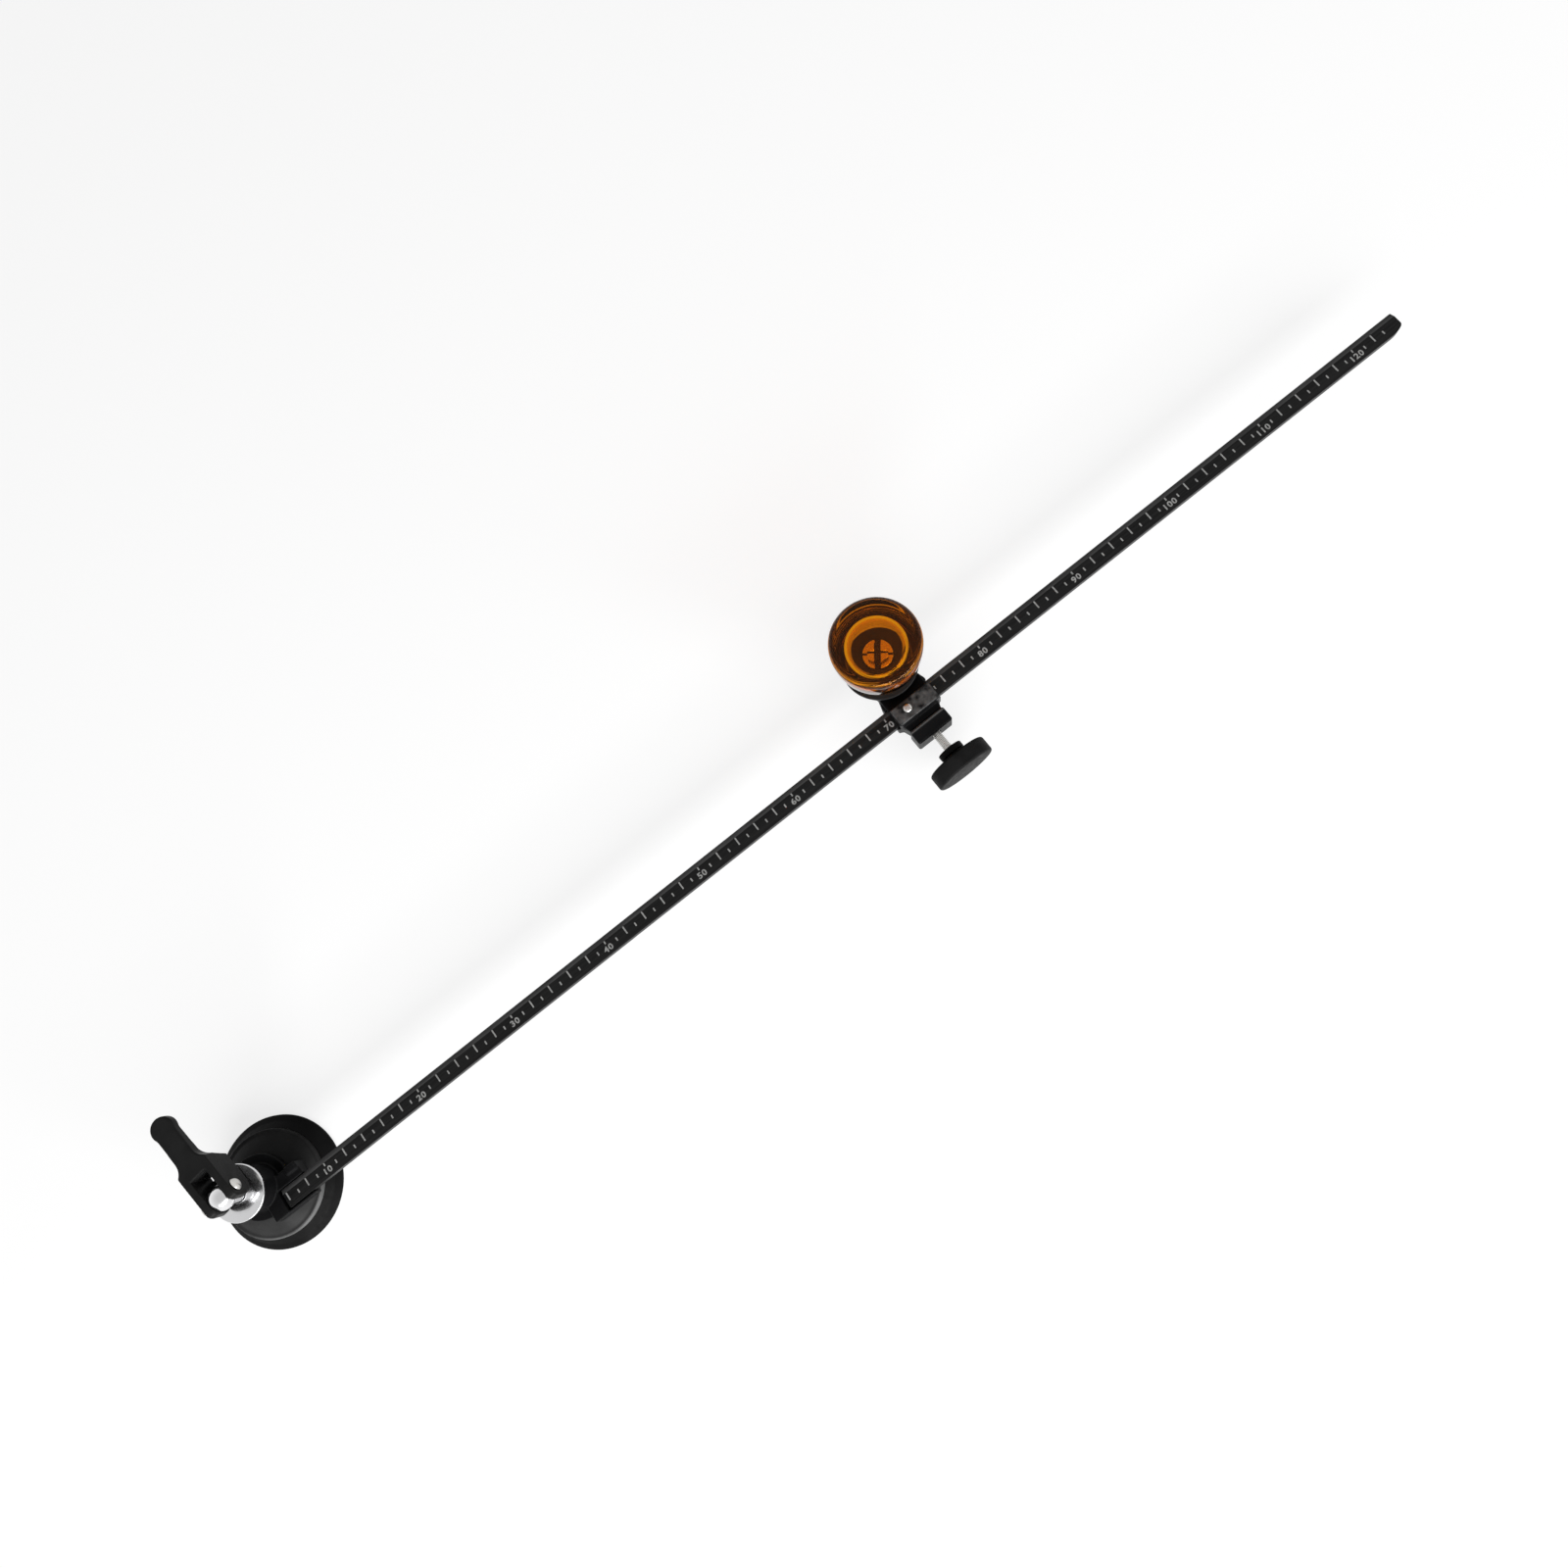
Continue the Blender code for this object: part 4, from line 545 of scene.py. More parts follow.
def above(tree, coords, axis, start, finish):
    """A share that goes from 0 to 1 as the place on the object goes from start to finish along an axis."""
    parts = tree.nodes.new("ShaderNodeSeparateXYZ")
    tree.links.new(coords, parts.inputs["Vector"])
    node = tree.nodes.new("ShaderNodeMapRange")
    node.inputs["From Min"].default_value = start
    node.inputs["From Max"].default_value = finish
    tree.links.new(parts.outputs[axis], node.inputs["Value"])
    return node.outputs["Result"]


def product(tree, first, second):
    node = tree.nodes.new("ShaderNodeMath")
    node.operation = "MULTIPLY"
    tree.links.new(first, node.inputs[0])
    tree.links.new(second, node.inputs[1])
    return node.outputs["Value"]


def lay_over(tree, share, color, socket):
    """Mixes a colour over whatever feeds a socket, as far as a share says."""
    mix = tree.nodes.new("ShaderNodeMix")
    mix.data_type = "RGBA"
    tree.links.new(share, mix.inputs["Factor"])
    tree.links.new(socket.links[0].from_socket, mix.inputs["A"])
    mix.inputs["B"].default_value = (*color, 1)
    tree.links.new(mix.outputs["Result"], socket)


def times(color, factor):
    return tuple(min(channel * factor, 1) for channel in color)


def dark_finish(name, color, roughness, grain, depth, specks, shine):
    """A dark moulded or painted surface: uneven gloss, faint cloudiness and a fine grain."""
    material, tree, shader, coords = start_material(name)
    shader.inputs["Specular IOR Level"].default_value = shine
    clouds = noise(tree, coords, 120, 4)
    shade_between(tree, clouds, color, times(color, specks), shader.inputs["Base Color"])
    gloss = noise(tree, coords, 420, 5)
    spread(tree, gloss, roughness * 0.85, roughness * 1.2, shader.inputs["Roughness"])
    relief(tree, shader, noise(tree, coords, grain, 2), depth, 0.35)
    return material


def rubber(colours):
    return dark_finish("moulded_rubber", colours.rubber, 0.45, 2400, 0.00004, 1.5, 0.04)


def black_plastic(colours):
    return dark_finish("moulded_plastic", colours.plastic, 0.28, 1500, 0.00002, 1.4, 0.04)


def knob_plastic(colours):
    return dark_finish("matte_plastic", times(colours.plastic, 0.5), 0.50, 1300, 0.00004, 2.0, 0.04)


def black_casting(colours):
    """Painted casting, with a painted sheen on the top of the carriage's crown and a painted highlight along the top
    of its clamp block.
    """
    material = dark_finish("painted_casting", colours.casting, 0.34, 1900, 0.00005, 1.6, 0.05)
    tree = material.node_tree
    coords = tree.nodes["Texture Coordinate"].outputs["Object"]
    # painted sheen: the crown's top is lighter in patches, as if it caught the light from above
    top = above(tree, coords, "Z", CROWN_TOP - MASK_BLEND, CROWN_TOP - MASK_BLEND / 2)
    past_cup = above(tree, coords, "X", COVER_HIGH.x, COVER_HIGH.x + MASK_BLEND)
    patches = tree.nodes.new("ShaderNodeMapRange")
    spread(tree, noise(tree, coords, 330, 5), 0, 1, patches.inputs["Value"])
    painted_light = product(tree, product(tree, top, past_cup), patches.outputs["Result"])
    color = tree.nodes["Principled BSDF"].inputs["Base Color"]
    lay_over(tree, painted_light, times(colours.highlight_and_wear, 1.3), color)
    # painted highlight: a pale stripe along the top of the clamp block, next to the crown
    block_edge = CARRIAGE_LOW.y + bpy.context.scene.cutter_carriage.block_depth
    behind = above(tree, coords, "Y", block_edge - MASK_BLEND * 4, block_edge - MASK_BLEND * 2)
    before = above(tree, coords, "Y", block_edge + MASK_BLEND, block_edge)
    block_top = CROWN_TOP - bpy.context.scene.cutter_carriage.block_drop
    over = above(tree, coords, "Z", block_top - MASK_BLEND * 2, block_top - MASK_BLEND)
    stripe = product(tree, product(tree, behind, before), product(tree, over, past_cup))
    lay_over(tree, stripe, times(colours.highlight_and_wear, 1.8), color)
    return material


def black_anodised(colours):
    material, tree, shader, coords = start_material("anodised_bar")
    lines = noise(tree, coords, 2200, 4, (0.02, 1, 1))
    shade_between(tree, lines, colours.anodised, times(colours.anodised, 2.2), shader.inputs["Base Color"])
    spread(tree, lines, 0.30, 0.46, shader.inputs["Roughness"])
    relief(tree, shader, lines, 0.00002, 0.3)
    # The pale stripe on the bevel is partly wear and partly a painted highlight.
    bevel = bpy.context.scene.cutter_beam.bevel
    edge = above(tree, coords, "Y", BEAM_HIGH.y - bevel, BEAM_HIGH.y - bevel + MASK_BLEND / 2)
    wear = noise(tree, coords, 300, 4, (0.2, 1, 1))
    lay_over(tree, product(tree, edge, wear), times(colours.highlight_and_wear, 1.6), shader.inputs["Base Color"])
    shader.inputs["Specular IOR Level"].default_value = 0.08
    return material


def metal(name, color, low, high, grain, stretch, depth):
    material, tree, shader, coords = start_material(name)
    lines = noise(tree, coords, grain, 4, stretch)
    shade_between(tree, noise(tree, coords, 260, 3), times(color, 0.9), color, shader.inputs["Base Color"])
    spread(tree, lines, low, high, shader.inputs["Roughness"])
    relief(tree, shader, lines, depth, 0.25)
    shader.inputs["Metallic"].default_value = 1
    return material


def chrome(colours):
    """Chrome plate, painted darker where it faces the viewer as a studio's dark reflections would make it, and bright
    along its edges.
    """
    material = metal("chrome_plate", colours.chrome, 0.14, 0.22, 300, (1, 1, 1), 0.000001)
    tree = material.node_tree
    # painted reflection: the colour goes darker where the surface faces the viewer
    facing = tree.nodes.new("ShaderNodeLayerWeight")
    facing.inputs["Blend"].default_value = 0.5
    color = tree.nodes["Principled BSDF"].inputs["Base Color"]
    shade_between(tree, facing.outputs["Facing"], times(colours.chrome, 0.62), colours.chrome, color, 0.05, 0.45)
    return material


def steel(colours):
    return metal("turned_steel", colours.steel, 0.22, 0.38, 1800, (1, 1, 6), 0.00002)


def brass(colours):
    return metal("turned_brass", colours.brass, 0.18, 0.34, 1800, (1, 1, 6), 0.00002)


def brass_with_slot_shade(name, colours, top):
    """Turned brass with painted shade in its slots and over all of it that lies below its top."""
    material = metal(name, colours.brass, 0.18, 0.34, 1800, (1, 1, 6), 0.00002)
    tree = material.node_tree
    coords = tree.nodes["Texture Coordinate"].outputs["Object"]
    # painted shade: everything a little below the top, the slots with it, is darkened almost to black
    slot_shade = above(tree, coords, "Z", top - MASK_BLEND, top - MASK_BLEND * 2)
    lay_over(tree, slot_shade, times(colours.brass, 0.04), tree.nodes["Principled BSDF"].inputs["Base Color"])
    return material


def post_brass(colours):
    return brass_with_slot_shade("slotted_post", colours, POST_HIGH.z)


def bush_brass(colours):
    return brass_with_slot_shade("slotted_bush", colours, BUSH_HIGH.z)


def cover_plastic(colours):
    """Black plastic with a painted highlight on the front of the bead at the bell's edge."""
    material = dark_finish("cover_plastic", times(colours.plastic, 2.1), 0.28, 1500, 0.00002, 1.3, 0.03)
    tree = material.node_tree
    coords = tree.nodes["Texture Coordinate"].outputs["Object"]
    flat = tree.nodes.new("ShaderNodeVectorMath")
    flat.operation = "MULTIPLY"
    flat.inputs[1].default_value = (1, 1, 0)
    tree.links.new(coords, flat.inputs[0])
    away = tree.nodes.new("ShaderNodeVectorMath")
    away.operation = "LENGTH"
    tree.links.new(flat.outputs["Vector"], away.inputs[0])
    bead = bpy.context.scene.cutter_cup.cover_bead
    ring = tree.nodes.new("ShaderNodeMapRange")
    ring.inputs["From Min"].default_value = COVER_HIGH.x - bead
    ring.inputs["From Max"].default_value = COVER_HIGH.x - bead / 2
    tree.links.new(away.outputs["Value"], ring.inputs["Value"])
    # painted highlight: the bead is lighter on its front side only, where the lamp catches it
    front = above(tree, coords, "Y", COVER_LOW.y * 0.35, COVER_LOW.y * 0.85)
    painted_light = product(tree, product(tree, ring.outputs["Result"], front), noise(tree, coords, 60, 5))
    lay_over(tree, painted_light, times(colours.highlight_and_wear, 2.6), tree.nodes["Principled BSDF"].inputs["Base Color"])
    return material


def amber(colours):
    """Clear amber acrylic: light is coloured on its way inside, and lamps shine through it."""
    material, tree, shader, coords = start_material("amber_acrylic")
    clouds = noise(tree, coords, 90, 3)
    shade_between(tree, clouds, times(colours.amber_face, 0.95), colours.amber_face, shader.inputs["Base Color"])
    spread(tree, noise(tree, coords, 700, 4), 0.01, 0.03, shader.inputs["Roughness"])
    shader.inputs["Transmission Weight"].default_value = 1
    shader.inputs["IOR"].default_value = 1.49
    shader.inputs["Specular Tint"].default_value = (*colours.amber_shine, 1)
    inside = tree.nodes.new("ShaderNodeVolumeAbsorption")
    inside.inputs["Color"].default_value = (*colours.amber, 1)
    inside.inputs["Density"].default_value = 230
    output = tree.nodes["Material Output"]
    tree.links.new(inside.outputs["Volume"], output.inputs["Volume"])
    rays = tree.nodes.new("ShaderNodeLightPath")
    through = tree.nodes.new("ShaderNodeBsdfTransparent")
    through.inputs["Color"].default_value = (*colours.amber_shade, 1)
    either = tree.nodes.new("ShaderNodeMixShader")
    tree.links.new(rays.outputs["Is Shadow Ray"], either.inputs["Fac"])
    tree.links.new(shader.outputs["BSDF"], either.inputs[1])
    tree.links.new(through.outputs["BSDF"], either.inputs[2])
    tree.links.new(either.outputs["Shader"], output.inputs["Surface"])
    return material


def scale_print(colours):
    """Worn pale print of the scale."""
    material, tree, shader, coords = start_material("scale_print")
    wear = noise(tree, coords, 1600, 5)
    shade_between(tree, wear, times(colours.printing, 0.55), colours.printing, shader.inputs["Base Color"])
    spread(tree, wear, 0.5, 0.7, shader.inputs["Roughness"])
    return material


MAKERS = {
    "rubber": rubber,
    "black_plastic": black_plastic,
    "knob_plastic": knob_plastic,
    "black_casting": black_casting,
    "black_anodised": black_anodised,
    "chrome": chrome,
    "steel": steel,
    "brass": brass,
    "post_brass": post_brass,
    "bush_brass": bush_brass,
    "cover_plastic": cover_plastic,
    "amber": amber,
    "print": scale_print,
}
FINISHES = {}


def finish(slot):
    """The material of a slot, made once."""
    if slot not in FINISHES:
        FINISHES[slot] = MAKERS[slot](bpy.context.scene.cutter_finish)
    return FINISHES[slot]


# Cup


def pad_outline(sizes):
    """Rubber pad from its top bore round the sloping outside, over the lip and along the hollow."""
    gap = sizes.seat_gap
    bore = bpy.context.scene.cutter_lever.stud_radius + gap
    pocket = INSERT_HIGH.x + gap
    boss = pocket + sizes.boss_wall
    floor = INSERT_LOW.z - gap
    roof = INSERT_HIGH.z + gap
    edge = COVER_HIGH.x
    radius = PAD_HIGH.x
    lip = radius - sizes.pad_lip
    middle = ((edge + radius) / 2, (sizes.pad_shoulder + sizes.pad_lip_height) / 2 - sizes.pad_sag, radius - edge)
    sphere = (lip ** 2 + sizes.hollow_height ** 2) / (2 * sizes.hollow_height)
    hollow = []
    for i in range(BELL_STEPS + 1):
        across = lip * (1 - i / BELL_STEPS)
        up = math.sqrt(sphere ** 2 - across ** 2) - sphere + sizes.hollow_height
        hollow.append((across, max(up, 0)))
    return [
        (0, floor),
        (pocket, floor),
        (pocket, roof),
        (bore, roof),
        (bore, PAD_HIGH.z),
        (boss, PAD_HIGH.z, gap),
        (boss, INSERT_HIGH.z),
        (edge - sizes.cover_wall, sizes.pad_shoulder),
        (edge, sizes.pad_shoulder, gap),
        middle,
        (radius, sizes.pad_lip_height, gap),
        (radius, 0),
        *hollow,
    ]


def cover_outline(sizes):
    """Hard bell with a bead at its edge and a filleted neck, walked round its whole section."""
    bore = bpy.context.scene.cutter_lever.stud_radius + sizes.seat_gap
    shoulder_z = COVER_LOW.z + sizes.cover_height
    bead = sizes.cover_bead
    wall = sizes.cover_wall
    radius = COVER_HIGH.x
    start = (sizes.cover_shoulder, shoulder_z)
    edge = (radius - bead, COVER_LOW.z + bead + bead)
    bell = curve_between(start, edge, 1.5, BELL_STEPS)
    hollow = curve_between((start[0] - wall, start[1] - wall), (edge[0] - wall, COVER_LOW.z + wall / 2), 1.5, BELL_STEPS)
    return [
        (bore, COVER_HIGH.z, bead / 4),
        (sizes.neck_radius, COVER_HIGH.z, bead / 4),
        (sizes.neck_radius, shoulder_z, bead),
        *bell[:-1],
        (edge[0], edge[1] + bead / 3, bead / 8),
        (radius, edge[1] + bead / 3, bead / 2),
        (radius, COVER_LOW.z, bead / 4),
        (radius - wall, COVER_LOW.z),
        *reversed(hollow),
        (bore, start[1] - wall),
    ]


def ring_outline(sizes):
    bore = bpy.context.scene.cutter_lever.stud_radius + sizes.seat_gap
    radius = (RING_HIGH.x - RING_LOW.x) / 2
    flange_z = RING_HIGH.z - sizes.ring_flange
    fine = sizes.ring_flange / 4
    return [
        (bore, RING_HIGH.z, fine),
        (radius, RING_HIGH.z, fine),
        (radius, flange_z, fine),
        (sizes.ring_collar, flange_z, fine),
        (sizes.ring_collar, RING_LOW.z),
        (bore, RING_LOW.z),
    ]


class CUTTER_OT_cup(bpy.types.Operator):
    """Pad, cover and chrome ring of the suction cup"""

    bl_idname = "cutter.cup"
    bl_label = "Suction cup"

    def execute(self, context):
        sizes = context.scene.cutter_cup
        pad = as_object("pad_rubber", turned(rounded(pad_outline(sizes))))
        dress(pad, "suction_pad")
        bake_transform(pad)
        cover = as_object("cover_shell", turned(rounded(cover_outline(sizes), closed=True), closed=True))
        finish_piece(cover, "cup_cover", look="cover_plastic")
        ring = as_object("ring_flanged", turned(rounded(ring_outline(sizes), closed=True), closed=True))
        finish_piece(ring, "thrust_ring")
        return {"FINISHED"}


# Pull stud, pin and lever


def stud_shape(sizes):
    """Stud with a ball on top, turned about the lever's axes."""
    radius = STUD_HIGH.z - PIN_PLACE.z
    waist = math.asin(sizes.stud_radius / radius)
    steps = BELL_STEPS + BELL_STEPS
    ball = []
    for i in range(steps + 1):
        angle = QUARTER_TURN - (math.pi - waist) * i / steps
        ball.append((radius * math.cos(angle), radius * math.sin(angle)))
    ball[0] = (0, radius)
    shank_end = INSERT_HIGH.z + bpy.context.scene.cutter_cup.seat_gap - PIN_PLACE.z
    low = STUD_LOW.z - PIN_PLACE.z
    outline = [*ball, (sizes.stud_radius, shank_end), (sizes.stud_thread, shank_end), (sizes.stud_thread, low), (0, low)]
    return turned(outline, LEVER_AXES)


def cut_eye(stud, sizes):
    """Flats on both sides of the eye and the hole for the pin."""
    half = sizes.eye_width / 2
    reach = STUD_HIGH.z - PIN_PLACE.z + half
    for low, high in ((-reach, -half), (half, reach)):
        carve(stud, box_shape((low, -reach, -sizes.eye_drop), (high, reach, reach), LEVER_AXES))
    gap = bpy.context.scene.cutter_cup.seat_gap
    hole = [(0, reach), (sizes.pin_radius + gap, reach), (sizes.pin_radius + gap, -reach), (0, -reach)]
    carve(stud, turned(hole, PIN_AXIS, steps=SMALL_STEPS))


def pin_outline(sizes):
    """Pin with a domed head on the beam's side, from the dome's top to the tail."""
    gap = bpy.context.scene.cutter_cup.seat_gap
    seat = sizes.fork_half + gap
    tail = -(seat + sizes.clip_thickness + sizes.pin_tail)
    dome = (sizes.pin_head ** 2 + sizes.pin_dome ** 2) / (2 * sizes.pin_dome)
    sweep = math.asin(sizes.pin_head / dome)
    head = []
    for i in range(ARC_STEPS + ARC_STEPS + 1):
        angle = sweep * i / (ARC_STEPS + ARC_STEPS)
        head.append((dome * math.sin(angle), seat + sizes.pin_dome - dome * (1 - math.cos(angle))))
    return [*head, (sizes.pin_radius, seat), (sizes.pin_radius, tail, gap), (0, tail)]


def clip_outline(sizes):
    gap = bpy.context.scene.cutter_cup.seat_gap
    outer = -(sizes.fork_half + gap)
    inner = outer - sizes.clip_thickness
    bore = sizes.pin_radius + gap / 2
    fine = gap / 2
    return [(bore, outer), (sizes.clip_radius, outer, fine), (sizes.clip_radius, inner, fine), (bore, inner)]


class CUTTER_OT_lever(bpy.types.Operator):
    """Pull stud, cam lever, its pin and the pin's retaining ring"""

    bl_idname = "cutter.lever"
    bl_label = "Cam lever"

    def execute(self, context):
        sizes = context.scene.cutter_lever
        stud = as_object("stud_eye", stud_shape(sizes))
        cut_eye(stud, sizes)
        round_edges(stud, context.scene.cutter_cup.seat_gap * 0.8, 2)
        finish_piece(stud, "pull_stud")
        lever = copy_of_node("lever_moulding", "cam_lever")
        cast_surface(lever, sizes.surface_step, 8)
        to_lever = LEVER_AXES.inverted()
        even_out(lever, 60, lambda place: min(max((to_lever @ place).y / sizes.handle_start - 0.8, 0), 1))
        finish_piece(lever, "cam_lever")
        pin = as_object("pin_domed", turned(rounded(pin_outline(sizes)), PIN_AXIS, steps=SMALL_STEPS))
        finish_piece(pin, "lever_pin")
        clip = as_object("clip_ring", turned(rounded(clip_outline(sizes), closed=True), PIN_AXIS, True, SMALL_STEPS))
        finish_piece(clip, "pin_clip")
        return {"FINISHED"}


# Arm


def bar(low, high):
    """A thin printed bar on the beam's top."""
    return box_shape((low[0], low[1], BEAM_HIGH.z), (high[0], high[1], BEAM_HIGH.z + bpy.context.scene.cutter_beam.print_height))


def add_mesh(shape, mesh, matrix):
    mesh.transform(matrix)
    shape.from_mesh(mesh)
    bpy.data.meshes.remove(mesh)


def label_mesh(text, sizes):
    """Digits of one label as a thin solid, centred on its own origin."""
    curve = bpy.data.curves.new("label", "FONT")
    curve.body = text
    curve.size = 1 / DIGIT_SHARE
    curve.extrude = sizes.print_height / sizes.digit_height / 2
    curve.offset = DIGIT_WEIGHT_SHARE
    curve.space_character = DIGIT_SPACE_SHARE
    curve.align_x = "CENTER"
    curve.align_y = "CENTER"
    curve.resolution_u = 3
    writing = bpy.data.objects.new("label", curve)
    bpy.context.scene.collection.objects.link(writing)
    graph = bpy.context.evaluated_depsgraph_get()
    mesh = bpy.data.meshes.new_from_object(writing.evaluated_get(graph))
    bpy.data.objects.remove(writing, do_unlink=True)
    return mesh


def scale_shape(sizes):
    """Marks from the bevel inwards and labels that count centimetres of the circle's diameter."""
    shape = bmesh.new()
    top = BEAM_HIGH.y - sizes.bevel
    middle = (BEAM_LOW.y + BEAM_HIGH.y) / 2 - sizes.digit_drop
    labels = int((BEAM_HIGH.x - sizes.first_label) / sizes.label_step) + 1
    marks = round(sizes.label_step / sizes.mark_step)
    first = 1 - marks + 5
    for i in range(first, marks * (labels - 1) + 4):
        x = sizes.first_label + sizes.mark_step * i
        if i % 2:
            start, reach = top - sizes.short_start, sizes.short_mark
        else:
            start, reach = top, sizes.long_mark if i % marks else sizes.label_mark
        half = sizes.mark_width / 2
        mark = bar((x - half, start - reach), (x + half, start))
        mesh = bpy.data.meshes.new("mark")
        mark.to_mesh(mesh)
        mark.free()
        add_mesh(shape, mesh, Matrix())
    for i in range(labels):
        x = sizes.first_label + sizes.label_step * i
        place = Matrix.Translation((x, middle, BEAM_HIGH.z + sizes.print_height / 2))
        place = place @ Matrix.Diagonal((sizes.digit_height * DIGIT_WIDTH_SHARE, sizes.digit_height, sizes.digit_height, 1))
        add_mesh(shape, label_mesh(str(10 * (i + 1)), sizes), place)
    bmesh.ops.remove_doubles(shape, verts=shape.verts, dist=WELD)
    return shape


class CUTTER_OT_arm(bpy.types.Operator):
    """Turning bracket, beam with its printed scale, and the two screws that hold it"""

    bl_idname = "cutter.arm"
    bl_label = "Arm"

    def execute(self, context):
        sizes = context.scene.cutter_beam
        bracket = copy_of_node("bracket_casting", "pivot_bracket")
        cast_surface(bracket, context.scene.cutter_carriage.surface_step, 10)
        finish_piece(bracket, "pivot_bracket")
        beam = copy_of_node("beam_bar", "beam")
        round_edges(beam, sizes.edge, 2)
        finish_piece(beam, "beam")
        scale = as_object("beam_scale", scale_shape(sizes))
        finish_piece(scale, "beam", look="print", stands_in=False)
        for node in ("beam_screw_inner", "beam_screw_outer"):
            self.screw(node, context)
        return {"FINISHED"}

    def screw(self, node, context):
        """Countersunk screw with a six-sided socket in its head, seen from below."""
        low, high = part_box(node)
        piece = copy_of_node(node + "_socketed", node)
        middle = ((low.x + high.x) / 2, (low.y + high.y) / 2, low.z)
        depth = (high.z - low.z) / 4
        socket = context.scene.cutter_carriage.socket
        carve(piece, prism(hexagon(socket), -depth, depth, Matrix.Translation(middle)))
        finish_piece(piece, node)


# Carriage


def play_outline(sizes):
    seat = PLAY_HIGH.z - sizes.play_head_height
    return [
        (0, PLAY_HIGH.z),
        (sizes.play_head, PLAY_HIGH.z, sizes.play_head_height * 0.6),
        (sizes.play_head, seat),
        (sizes.play_shank, seat),
        (sizes.play_shank, PLAY_LOW.z),
        (0, PLAY_LOW.z),
    ]


class CUTTER_OT_carriage(bpy.types.Operator):
    """Cast carriage with its play screw and lock screw"""

    bl_idname = "cutter.carriage"
    bl_label = "Carriage"

    def execute(self, context):
        sizes = context.scene.cutter_carriage
        carriage = copy_of_node("carriage_casting", "carriage")
        cast_surface(carriage, sizes.surface_step, 8)
        finish_piece(carriage, "carriage")
        play = as_object("play_screw_slotted", turned(rounded(play_outline(sizes)), PLAY_AXIS, steps=SMALL_STEPS))
        slot = sizes.play_slot / 2
        reach = sizes.play_head + sizes.play_slot
        floor = PLAY_HIGH.z - sizes.play_slot
        turn = PLAY_AXIS @ Matrix.Rotation(math.radians(35), 4, "Z")
        carve(play, box_shape((-slot, -reach, floor), (slot, reach, PLAY_HIGH.z + slot), turn))
        finish_piece(play, "play_screw")
        lock = copy_of_node("lock_screw_socketed", "lock_screw")
        middle = ((LOCK_LOW.x + LOCK_HIGH.x) / 2, LOCK_HIGH.y, (LOCK_LOW.z + LOCK_HIGH.z) / 2)
        across = Matrix.Translation(middle) @ Matrix.Rotation(QUARTER_TURN, 4, "X")
        depth = (LOCK_HIGH.y - LOCK_LOW.y) / 2
        carve(lock, prism(hexagon(sizes.socket), -depth, depth, across))
        finish_piece(lock, "lock_screw")
        return {"FINISHED"}


# Wheel


def holder_outline(sizes):
    flange_top = HOLDER_HIGH.z - sizes.shank_length
    flange = flange_top - sizes.flange_height
    radius = (HOLDER_HIGH.x - HOLDER_LOW.x) / 2
    fine = sizes.slot_crown / 2
    return [
        (0, HOLDER_HIGH.z),
        (sizes.shank_radius, HOLDER_HIGH.z, fine),
        (sizes.shank_radius, flange_top),
        (radius, flange_top, fine),
        (radius, flange, fine),
        (sizes.nose_radius, flange),
        (sizes.nose_radius, HOLDER_LOW.z + sizes.taper_height, fine),
        (sizes.tip_radius, HOLDER_LOW.z, fine),
        (0, HOLDER_LOW.z),
    ]


def wheel_outline(sizes):
    half = (WHEEL_HIGH.x - WHEEL_LOW.x) / 2
    radius = (WHEEL_HIGH.z - WHEEL_LOW.z) / 2
    rim = radius - sizes.edge_height
    return [(sizes.axle_radius, half), (rim, half), (radius, 0), (rim, -half), (sizes.axle_radius, -half)]


class CUTTER_OT_wheel(bpy.types.Operator):
    """Slotted wheel holder and cutting wheel"""

    bl_idname = "cutter.wheel"
    bl_label = "Cutting wheel"

    def execute(self, context):
        sizes = context.scene.cutter_wheel
        holder = as_object("holder_slotted", turned(rounded(holder_outline(sizes)), GRIP_AXIS, steps=SMALL_STEPS))
        reach = HOLDER_HIGH.x - HOLDER_LOW.x
        half = sizes.slot_width / 2
        top = WHEEL_HIGH.z + sizes.slot_crown
        carve(holder, box_shape((-half, -reach, -reach), (half, reach, top), GRIP_AXIS))
        hole = [(0, reach), (sizes.axle_radius, reach), (sizes.axle_radius, -reach), (0, -reach)]
        carve(holder, turned(hole, WHEEL_AXIS, steps=SMALL_STEPS))
        finish_piece(holder, "wheel_holder")
        wheel = as_object("wheel_edge", turned(wheel_outline(sizes), WHEEL_AXIS, True))
        finish_piece(wheel, "cutting_wheel")
        return {"FINISHED"}


# Grip


def grip_side(sizes, height):
    """Outer radius of the amber shell at a height over its foot."""
    wide = (AMBER_HIGH.x - AMBER_LOW.x) / 2
    share = min(height / sizes.shoulder_height, 1)
    return sizes.foot_radius + (wide - sizes.foot_radius) * math.sin(QUARTER_TURN * share)


